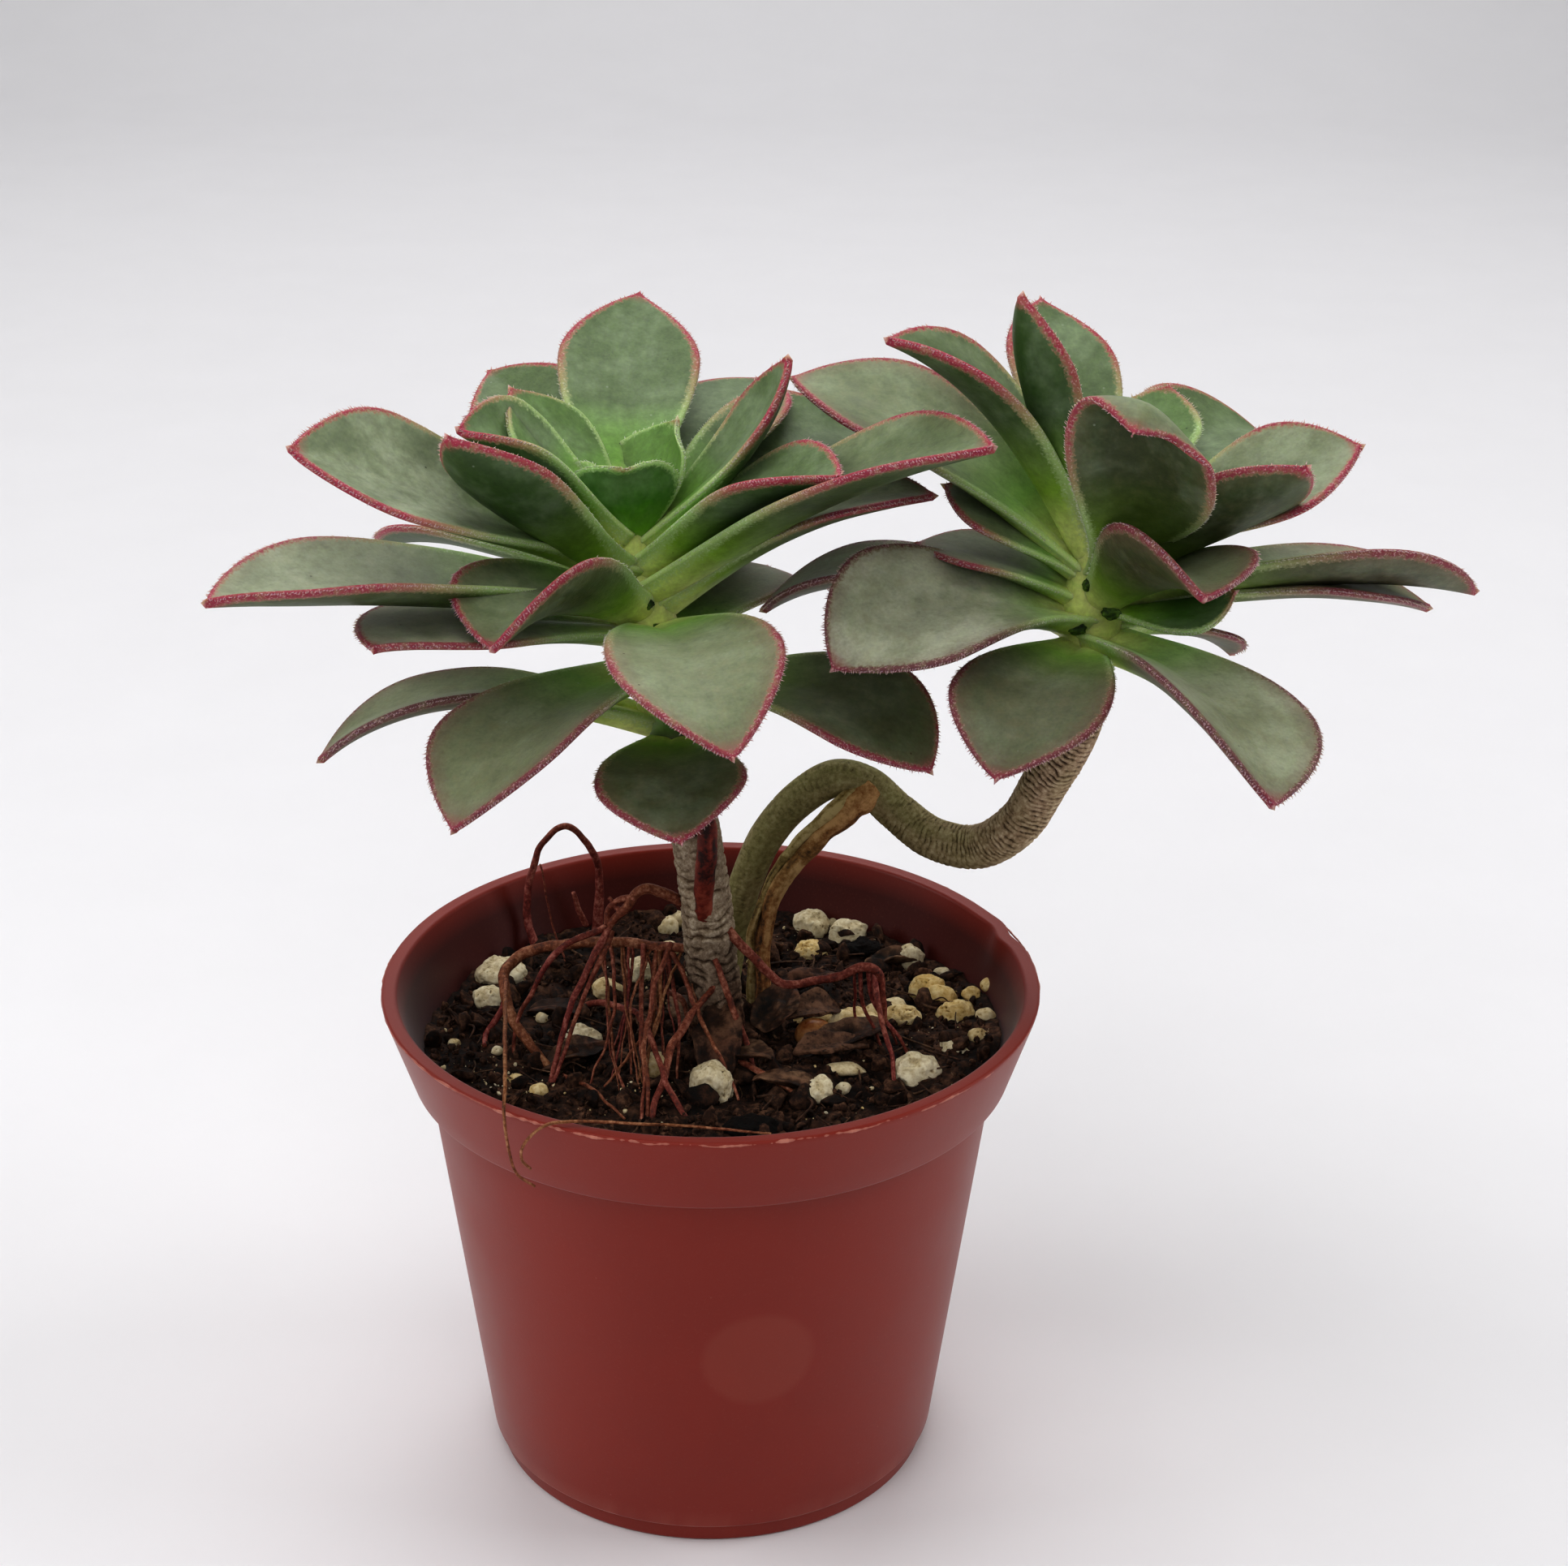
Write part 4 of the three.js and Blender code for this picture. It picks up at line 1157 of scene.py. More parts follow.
RIGHT_ROSETTE = Rosette(
    node="right_rosette",
    foot=(46.4, 1, 106.7),
    crown=(47.6, 0, 131),
    shoot_radii=(3.1, 3.9, 2),
    scars=(
        ((45.6, -4.0, 122.4), (1.1, 1.0, 1.6)),
        ((48.6, -4.2, 118.9), (2.5, 1.4, 1.8)),
        ((44.6, -4.0, 116.8), (2.3, 1.4, 1.6)),
    ),
    seed=8,
    leaves=(
        # the lowest leaves
        Leaf(113.6, 249, 8, 35, 19, 54, 0.18, -6, -7, painted_shade=0.5),
        Leaf(114.7, 301, 4, 45, 22, 33, 0.28, -26, -20, chalk=0.3),
        Leaf(113, 80, 4, 38, 18, 26, 0.15),
        Leaf(115, 128, 6, 38, 17, 34, 0.15),
        Leaf(116, 28, -4, 24, 15, 46, 0.15),
        Leaf(116.3, 173, 19, 43, 18, 60, 0.2, 7),
        Leaf(116.8, 208, 18, 38, 22, 57, 0.24, -25, chalk=1.0),
        # the spreading outer leaves
        Leaf(118.6, 343.9, 1.6, 17.3, 18.4, -21, 0.12, 11.7, 15.3, painted_shade=0.9),
        Leaf(119, 12, 5, 45, 16, 30, 0.2),
        Leaf(119, 171, 23, 23, 17, 23, 0.1, 6),
        Leaf(119.5, 300, 31, 30, 18.5, 38, 0.52, -21, -22),
        Leaf(120.5, 4, 6, 49, 17.5, 25, 0.36, -23, 9, chalk=0.3),
        Leaf(120, 62, 14, 40, 18, 24, 0.15),
        Leaf(121, 105, 16, 40, 18, 26, 0.15),
        Leaf(121.6, 160, 33, 22, 15, 19, 0.14, -10),
        Leaf(122.6, 156, 37, 46, 19.5, 34, 0.22, -12),
        # the rising inner leaves
        Leaf(123.2, 319, 29, 34, 16, -14, 0.2, -32),
        Leaf(124.2, 354, 28, 34, 18.5, 3, 0.2, 25, 4, chalk=0.3),
        Leaf(125.2, 183, 59, 39, 16, 39, 0.43, -5, 11),
        Leaf(122.9, 288.4, 42.4, 43.8, 19, -41.4, -0.32, -26, -43.6, curl=111),
        Leaf(127.3, 48, 28, 34, 20, 51, 0.3, 14, -4),
        Leaf(127.3, 202, 61, 33, 12, -25, 0.45, 10),
        Leaf(128.3, 103, 36, 36, 15, 0, 0.25, 12, -3),
        # the youngest leaves round the growing point
        Leaf(129.4, 59, 25, 23, 13, -18, 0.19, 0, 7),
        Leaf(129, 290, 66, 12, 9, -12, 0.45),
        Leaf(130, 150, 55, 9, 7, 0, 0.4),
        Leaf(130.5, 20, 60, 6, 5, 0, 0.4),
    ),
)


# ---------------------------------------------------------------- stems and roots


@dataclass(frozen=True)
class Stem:
    """A bare stem: smooth and green where it is young, ringed with cracked, flaking cork where it is old.

    Attributes:
        route: The points that it passes through.
        radii: Its radius at even steps along it.
        corky: How corky it is at even steps along it, from 0 to 1.
        pale_and_painted_light: How pale it is at even steps along it, from 0 to 1: partly bleached bark
        and partly painted light, with its low values as painted shade.
        spacing: Distance between its rings.
        depth: Depth of the cracks between them.
        seed: Picks its irregularities.
    """

    route: tuple[Point, ...]
    radii: tuple[float, ...]
    corky: tuple[float, ...]
    pale_and_painted_light: tuple[float, ...]
    spacing: float
    depth: float
    seed: int

    SIDES = 84
    STEP = 0.14

    def shell(self) -> Shell:
        """Builds the stem with its cracked rings, marked with their relief and with how corky it is.

        Returns:
            The stem's shell.
        """
        length = np.sum(np.linalg.norm(np.diff(follow(self.route, 40), axis=0), axis=1))
        count = int(length / self.STEP)
        line = follow(self.route, count)
        share = np.linspace(0, 1, count)
        radius = np.interp(share * (len(self.radii) - 1), range(len(self.radii)), self.radii)[:, None]
        turn = turns(self.SIDES)
        run = (share * length)[:, None]
        around = np.stack(np.broadcast_arrays(run, 3.5 * np.cos(turn), 3.5 * np.sin(turn)), axis=-1)
        lengthwise = around * [0.22, 1, 1]

        corky = np.interp(share * (len(self.corky) - 1), range(len(self.corky)), self.corky)[:, None]
        patchy = crumpled(around * [0.6, 1, 1], 2.6, self.seed + 1)
        corky = np.clip(corky + 0.35 * patchy * (corky > 0.05), 0, 1)
        warped = run / self.spacing + 0.8 * lumps(around, 3.2, self.seed)
        warped = warped + 0.3 * lumps(around, 0.9, self.seed + 2)
        rise = warped % 1
        broken = np.clip(0.6 + 0.9 * lumps(around, 1.5, self.seed + 7), 0, 1)
        crack = np.exp(-(((rise - 0.5) / 0.13) ** 2)) * broken
        flake = (rise - 0.5) % 1 - 0.5
        rough = crumpled(around, 0.6, self.seed + 3)
        shreds = crumpled(lengthwise, 0.9, self.seed + 5)
        shreds = shreds + 0.5 * crumpled(around * [0.12, 1, 1], 0.45, self.seed + 6)
        cork = 0.7 * flake * broken - 1.2 * crack + 0.4 * rough + 0.25 * shreds
        smooth = 0.25 * crumpled(lengthwise, 1.1, self.seed + 9) - 0.3 * crack * (broken > 0.93)
        relief = corky * cork + (1 - corky) * smooth
        # pale bark and painted light, with low values as painted shade
        pale_and_painted_light = np.interp(share * (len(self.pale_and_painted_light) - 1), range(len(self.pale_and_painted_light)), self.pale_and_painted_light)[:, None]
        bleached = crumpled(around * [0.5, 1, 1], 3.0, self.seed + 4)
        pale_and_painted_light = np.clip(pale_and_painted_light + 0.35 * bleached * (pale_and_painted_light > 0.02), 0, 1)
        shell = tube(line, radius + self.depth * relief, self.SIDES)
        return shell.marked(
            relief=np.append((0.4 * relief + 0.06 * corky).ravel(), [0, 0]),
            tone=np.append(pale_and_painted_light.ravel(), [1, 1]),
        )


@dataclass(frozen=True)
class Strand:
    """A wiry aerial root, a dead woody root or a dried stalk.

    Attributes:
        route: The points that it passes through.
        radii: Its radius at even steps along it.
        tone: 0 for a red root and 1 for an orange-brown one.
        seed: Picks its irregularities.
        kink: How far it wanders from the route.
        furrow: Depth of the furrows that run along it.
    """

    route: tuple[Point, ...]
    radii: tuple[float, ...]
    tone: float = 0.4
    seed: int = 0
    kink: float = 0.25
    furrow: float = 0.0

    SIDES = 14
    STEP = 0.3

    def shell(self) -> Shell:
        """Builds the strand with small kinks, knots and furrows.

        Returns:
            The strand's shell.
        """
        length = np.sum(np.linalg.norm(np.diff(follow(self.route, 40), axis=0), axis=1))
        count = max(14, int(length / self.STEP))
        line = follow(self.route, count)
        share = np.linspace(0, 1, count)
        ends = np.minimum(1, np.minimum(share, 1 - share) * 12)[:, None]
        sway = np.stack([crumpled(line, 3.2, self.seed + k, 2) for k in range(3)], axis=-1)
        line = line + self.kink * sway * ends
        turn = turns(self.SIDES)
        around = np.stack(np.broadcast_arrays((share * length)[:, None], np.cos(turn), np.sin(turn)), axis=-1)
        knots = 0.13 * crumpled(around, 1.5, self.seed + 5)
        radius = np.interp(share * (len(self.radii) - 1), range(len(self.radii)), self.radii)[:, None]
        furrows = self.furrow * crumpled(around * [0.12, 1, 1], 0.7, self.seed + 6)
        shell = tube(line, radius * (1 + knots) + furrows, self.SIDES)
        tone = np.clip(self.tone + 0.3 * lumps(line, 7, self.seed + 9), 0, 1)
        relief = 1.7 * knots + (0.6 * furrows / self.furrow if self.furrow else 0)
        return shell.marked(
            relief=np.append(relief.ravel(), [0, 0]),
            tone=np.append(np.repeat(tone, self.SIDES), [0.5, 0.5]),
        )


MAIN_STEM = Stem(
    route=((1.4, 0, 28), (0.9, 0, 56), (0.2, 0, 67), (-0.8, 0, 79), (-2.4, 0, 90), (-3.9, 0, 97.7)),
    radii=(2.6, 3.7, 3.8, 3.4, 3.2, 3.2),
    corky=(1, 1, 1, 1, 1, 1, 0.6, 0.4, 0.3),
    pale_and_painted_light=(0, 0, 0, 0, 0, 0.3, 0.95, 0.95, 0.8, 0.6),
    spacing=1.45,
    depth=0.42,
    seed=21,
)
SIDE_STEM = Stem(
    route=(
        (1.5, 14, 30), (1.1, 14, 57), (2.7, 14, 67.5), (4.3, 14, 74), (7, 14, 80.6), (11.2, 14, 86),
        (16, 14, 89), (20, 14, 88), (24, 13, 84.7), (28.8, 11, 81.8), (34.5, 9, 81.6), (39.4, 6, 86.3),
        (42.6, 4, 93.4), (45.2, 2, 99.8), (46.2, 1.2, 103.6), (46.4, 1, 106),
    ),
    radii=(1.8, 2.1, 2.2, 2.2, 2.4, 2.6, 2.9, 3, 3),
    corky=(0, 0, 0, 0.02, 0.05, 0.06, 0.3, 0.85, 1, 1),
    pale_and_painted_light=(0, 0, 0, 0.03, 0.1, 0.12, 0.35, 0.8, 0.9, 0.9),
    spacing=0.72,
    depth=0.3,
    seed=31,
)
STALK = Strand(
    ((-1, -1.6, 75), (-0.8, -3.2, 81), (-0.4, -4, 86), (-0.4, -4, 92)),
    (1.1, 1.3, 1.35, 1.1), 0.1, 41, 0.1, 0.12,
)
WOODY_ROOTS = (
    # two strips side by side, torn from the side stem's bend
    Strand(
        (
            (20.2, 13.4, 87.6), (17.5, 11, 85.5), (13.9, 10.3, 82.3), (11.8, 10, 79.9), (8.7, 9.5, 75.7),
            (6.8, 8.4, 69), (6.6, 7.6, 62), (6.6, 7.4, 54),
        ),
        (2.4, 1.4, 1.15, 1.05, 1.0, 0.95, 0.9), 0.35, 43, 0.3, 0.3,
    ),
    Strand(
        (
            (18.6, 12.6, 87.6), (16.2, 10.9, 86), (12.2, 10.2, 82.6), (9.6, 10, 79.5), (7.2, 9.6, 75),
            (5.4, 8.8, 70), (5.2, 8.2, 62), (5.2, 8, 54),
        ),
        (1.5, 0.8, 0.65, 0.6, 0.6, 0.55, 0.5), 0.9, 44, 0.3, 0.2,
    ),
)
THICK_ROOTS = (
    # the root that arches up to the left and forks
    Strand(
        ((-1.6, 0, 76), (-6.3, -1, 79.4), (-8.8, -1.5, 80), (-11.4, -2, 77), (-13.6, -2, 74)),
        (0.74, 0.7, 0.67, 0.59, 0.44), 0.55, 51, 0.4,
    ),
    Strand(
        ((-9.5, -2, 79), (-11.5, -1.5, 78.6), (-13, -1.2, 77.2), (-13.4, -2, 74.5)),
        (0.52, 0.41, 0.37, 0.37), 0.4, 52, 0.3,
    ),
    # the long brown root that lies along the left of the soil
    Strand(
        (
            (-0.5, 0, 71), (-7, 1.2, 70.6), (-12.3, 2, 70.9), (-19.8, 4, 69.3), (-25.2, 5, 67.2),
            (-26.9, 2, 66), (-26.2, -3, 64), (-24.4, -6, 62), (-21.1, -8, 58.6), (-19, -9.2, 56),
        ),
        (0.59, 0.63, 0.67, 0.7, 0.74, 0.74, 0.7, 0.63, 0.52), 0.75, 53, 0.4,
    ),
    # the root that runs right, arches and ends in a fan
    Strand(
        (
            (0.5, -1, 76), (5.1, -2, 71.3), (9.4, -2.6, 67.2), (13.7, -3.1, 67.9), (16.4, -3.3, 68.8),
            (19.4, -3.5, 70.3), (21.2, -3.6, 69.6), (22.0, -4, 66), (22.4, -4.1, 62.5),
        ),
        (0.63, 0.63, 0.59, 0.55, 0.55, 0.59, 0.63, 0.44, 0.3), 0.25, 54, 0.35,
    ),
    # the roots round the stem's foot
    Strand(
        ((0.5, -3.2, 71.1), (2.2, -4.6, 67.4), (3.6, -5.8, 63.4), (4.7, -6.6, 60.6), (5.8, -8.4, 57)),
        (0.37, 0.44, 0.44, 0.37, 0.3), 0.3, 55, 0.3,
    ),
    Strand(
        (
            (0.6, -2.6, 67.5), (-2.5, -7.5, 65), (-4.5, -11.6, 63.2), (-5.4, -15.8, 60.9), (-6.6, -19.1, 59),
            (-7, -21, 57),
        ),
        (0.37, 0.48, 0.52, 0.44, 0.37), 0.2, 56, 0.5,
    ),
    Strand(
        (
            (-5.1, -1, 72.2), (-7, -6.3, 69), (-7.6, -9.8, 66.2), (-8.2, -13.6, 63.1), (-7.4, -16.7, 60.7),
            (-7.5, -20.1, 57),
        ),
        (0.37, 0.33, 0.3, 0.3, 0.26), 0.45, 57, 0.35,
    ),
)
FINE_ROOTS = (
    # from the fork down to the soil on the left
    Strand(
        ((-13, -2, 74.8), (-15.5, -4.8, 70.8), (-18, -8.1, 65.5), (-20.3, -12.5, 57.5)),
        (0.5, 0.4, 0.3), 0.15, 61,
    ),
    Strand(
        ((-12.6, -2, 74.4), (-14.4, -5, 70.6), (-16.9, -8.1, 65.4), (-20, -13, 57.5)),
        (0.4, 0.3, 0.25), 0.3, 62,
    ),
    Strand(
        ((-13.3, -2, 75), (-18.9, -3.3, 72.7), (-22.3, -4.5, 67.9), (-24.8, -5.6, 63), (-25.3, -6.6, 57.5)),
        (0.45, 0.4, 0.3, 0.22), 0.2, 63,
    ),
    # over the rim and down outside the pot
    Strand(
        (
            (-26.6, 0, 66.2), (-25.9, -8, 67), (-25.1, -17, 68.4), (-24.2, -27.1, 69.4), (-23.7, -33, 69),
            (-23.4, -37.4, 67.3), (-22.9, -38.6, 63.5), (-21.9, -39, 60.5), (-19.9, -39.3, 59),
        ),
        (0.3, 0.28, 0.26, 0.22, 0.16), 0.9, 64, 0.15,
    ),
    Strand(
        (
            (8, -37.6, 65.4), (0, -38.2, 66.6), (-9.5, -38.6, 67.3), (-15.7, -38.7, 67.5),
            (-18.4, -39.4, 67.4), (-20.4, -40.8, 66.4), (-21.2, -41.3, 65), (-21.1, -41.2, 63.6),
            (-20.2, -40.8, 62.3),
        ),
        (0.16, 0.18, 0.2, 0.18), 0.9, 65, 0.12,
    ),
    Strand(((-19.1, -9.2, 57.4), (-15.1, -14.6, 58.8), (-10.1, -23.1, 59)), (0.35, 0.22, 0.15), 0.5, 66),
    Strand(
        ((-26.9, 2, 65.6), (-27.3, 2, 61.3), (-29.3, 0, 58.6), (-29.3, -3.4, 58.4)),
        (0.5, 0.45, 0.3), 0.05, 67,
    ),
    # short side roots behind
    Strand(((-17.7, 22, 63.4), (-18.7, 21.5, 66.1), (-19.2, 21, 68.8)), (0.45, 0.4, 0.3), 0.1, 68),
    Strand(((-10.6, -2, 77.2), (-12, -1.5, 77.5), (-13, -1, 78.6)), (0.4, 0.35, 0.25), 0.4, 69),
    Strand(((-23.9, 24, 71.6), (-21.8, 22, 61.5), (-19.9, 20, 57)), (0.14, 0.14, 0.14), 0.3, 70),
    # the curtain of fine roots in front of the stem
    Strand(
        ((-11.6, 3, 70.5), (-10.9, -2.3, 64.9), (-10.1, -8.2, 60.6), (-9.7, -11.9, 57.5)),
        (0.24, 0.2, 0.14), 0.5, 71,
    ),
    Strand(
        ((-14.7, 2, 71), (-13.4, -2.4, 66.9), (-12.6, -7.4, 63.3), (-11.7, -11.8, 60.2), (-10, -15.5, 57.5)),
        (0.24, 0.2, 0.16), 0.6, 72,
    ),
    Strand(
        ((-8.8, 1, 71), (-8.8, -6, 65.7), (-8.6, -11.2, 63), (-8.1, -16, 60.6), (-8.2, -21.6, 57.5)),
        (0.35, 0.3, 0.26, 0.2), 0.4, 73,
    ),
    Strand(((-6.8, 3, 63.7), (-3.9, 1, 62.9), (-3.1, 0, 61)), (0.35, 0.4, 0.3), 0.3, 74),
    Strand(
        ((2, -5, 60.4), (3.7, -7.8, 59.2), (8.6, -13.2, 58.8), (11.4, -16, 58.4)),
        (0.5, 0.4, 0.25), 0.6, 75,
    ),
    # the fan at the end of the right-hand root
    Strand(
        ((20.9, -3, 69.6), (21.2, -4.4, 67.8), (21.9, -7, 64.5), (23, -9.8, 61), (23.5, -12.2, 58)),
        (0.4, 0.33, 0.28), 0, 76,
    ),
    Strand(
        ((19.2, -3, 69.8), (19.2, -3, 67), (19.6, -2.9, 64.3), (21.1, -2.8, 61.1), (22.2, -2.8, 58)),
        (0.3, 0.25, 0.2), 0.1, 77,
    ),
    Strand(
        ((18.4, -3, 69.4), (18.5, -2.2, 66.3), (18.5, -0.9, 62.4), (19.4, 0.7, 58)),
        (0.22, 0.2, 0.16), 0.2, 78,
    ),
    Strand(
        ((20.2, -3, 69.6), (20.6, -3.4, 66.1), (22.7, -4.1, 62.6), (24.5, -4.5, 60.5), (25.6, -4.9, 58)),
        (0.34, 0.28, 0.2), 0, 79,
    ),
    Strand(
        ((21, -3, 69.4), (21.7, -2.4, 64.1), (23.6, -1.7, 59.8), (24.1, -1.4, 58)),
        (0.28, 0.22, 0.16), 0.1, 80,
    ),
)
ROOT_LOOPS = {
    "root_loop_back": Strand(
        (
            (-24, 24.4, 53), (-24.6, 25, 57.4), (-26, 26.6, 62.1), (-25.4, 27.5, 68.7), (-23.9, 28, 72.8),
            (-20.7, 29, 75.1), (-17.7, 30, 71.9), (-16.2, 31, 66.5), (-16.6, 31, 62.3), (-17, 30.6, 57.4),
            (-17, 30.2, 53),
        ),
        (0.8, 0.6, 0.5, 0.45, 0.45, 0.55, 0.75, 0.8), 0.1, 57, 0.35,
    ),
    "root_loop_front": Strand(
        (
            (-17.4, 10.6, 53), (-17.2, 9.8, 57), (-12.3, 1, 62), (-9, -5.4, 64), (-5.4, -17, 61),
            (-2.6, -20.6, 57), (-2.2, -21.4, 53),
        ),
        (0.5, 0.45, 0.4, 0.38, 0.35), 0.3, 58, 0.35,
    ),
}


@dataclass(frozen=True)
class Tangle:
    """Thin roots that hang from the long brown root to the soil in front of the main stem.

    Attributes:
        count: How many.
        reach: How far forwards they spread, in millimetres.
        seed: Picks their places.
    """

    count: int = 18
    reach: float = 14.0
    seed: int = 91

    START = (-15.0, 1.4, 70.4)
    SPAN = 12.0
    GROUND = 57.5

    def shell(self) -> Shell:
        """Builds the roots.

        Returns:
            One shell that holds them all.
        """
        random = np.random.default_rng(self.seed)
        shells = []
        for k in range(self.count):
            start = np.array(self.START) + [self.SPAN * random.random(), 0, 0]
            end = start + [5.0 * random.normal(), -(4 + self.reach * random.random()), 0]
            end[2] = self.GROUND
            bow = [1.4 * random.normal(), -1.5 * random.random(), 2.2 * random.random()]
            thick = 0.12 + 0.18 * random.random() ** 2
            route = tuple(map(tuple, (start, (start + end) / 2 + bow, end)))
            radii = (1.3 * thick, thick, 0.6 * thick)
            shells.append(Strand(route, radii, random.random(), self.seed + k - 1, 0.5).shell())
        return Shell.join(shells)


class Stems:
    """Both bare stems, with the aerial roots that grow from them."""

    # cork split by weather: brown-black cracks round dull flakes, paler near the rosette, partly bleached and
    # partly painted light, and darker lower down, partly painted shade
    CORK = ReliefFinish(
        "corky_bark_weathered",
        ("#140a07", "#45291d", "#86624a"),
        ("#68533f", "#ab9880", "#dfd1ba"),
        roughness=0.9, grain=0.45, shine=0.15,
    )
    # young bark: smooth and olive with a soft gloss, turning to grey-tan cork
    OLIVE = ReliefFinish(
        "green_bark_smooth",
        ("#5d532e", "#8d8655", "#b0aa7a"),
        ("#40291c", "#a78c70", "#dac6aa"),
        roughness=0.7, grain=0.7, relief=0.12,
    )
    # air-dried root: wiry, wine red to orange brown, with a faint sheen
    ROOT = ReliefFinish(
        "aerial_root_wiry",
        ("#2e0e0c", "#7c3029", "#c07a6c"),
        ("#32180e", "#83502f", "#c2946c"),
        roughness=0.65, grain=0.5, relief=0.1,
    )
    # torn dead wood: long furrows, orange brown beside olive grey
    WOOD = ReliefFinish(
        "dead_root_torn",
        ("#3a2012", "#94582f", "#cb9763"),
        ("#3d3214", "#8d7a46", "#c2b17e"),
        roughness=0.8,
    )
    # dried leaf stalk: shrunk, red and a little glossy
    STALK_SKIN = ReliefFinish(
        "dried_leaf_stalk",
        ("#30100b", "#7c2b20", "#a44e3c"),
        ("#30100b", "#7c3626", "#a05a44"),
        roughness=0.55, relief=0.1,
    )

    def dress(self) -> None:
        """Builds the stems, their roots and the two root loops."""
        root = self.ROOT.material()
        MAIN_STEM.shell().piece("main_stem_bark", self.CORK.material(), Slot.BARK, ["main_stem"])
        SIDE_STEM.shell().piece("side_stem_bark", self.OLIVE.material(), Slot.OLIVE_BARK, ["side_stem"])
        STALK.shell().piece("dried_stalk", self.STALK_SKIN.material(), Slot.BARK)
        woody = Shell.join(each.shell() for each in WOODY_ROOTS)
        woody.piece("woody_root", self.WOOD.material(), Slot.OLIVE_BARK)
        Shell.join(each.shell() for each in THICK_ROOTS).piece("aerial_roots", root, Slot.ROOT)
        fine = [*(each.shell() for each in FINE_ROOTS), Tangle().shell()]
        Shell.join(fine).piece("fine_roots", root, Slot.ROOT)
        for node, strand in ROOT_LOOPS.items():
            strand.shell().piece(node + "_strand", root, Slot.ROOT, [node])


# ---------------------------------------------------------------- pot


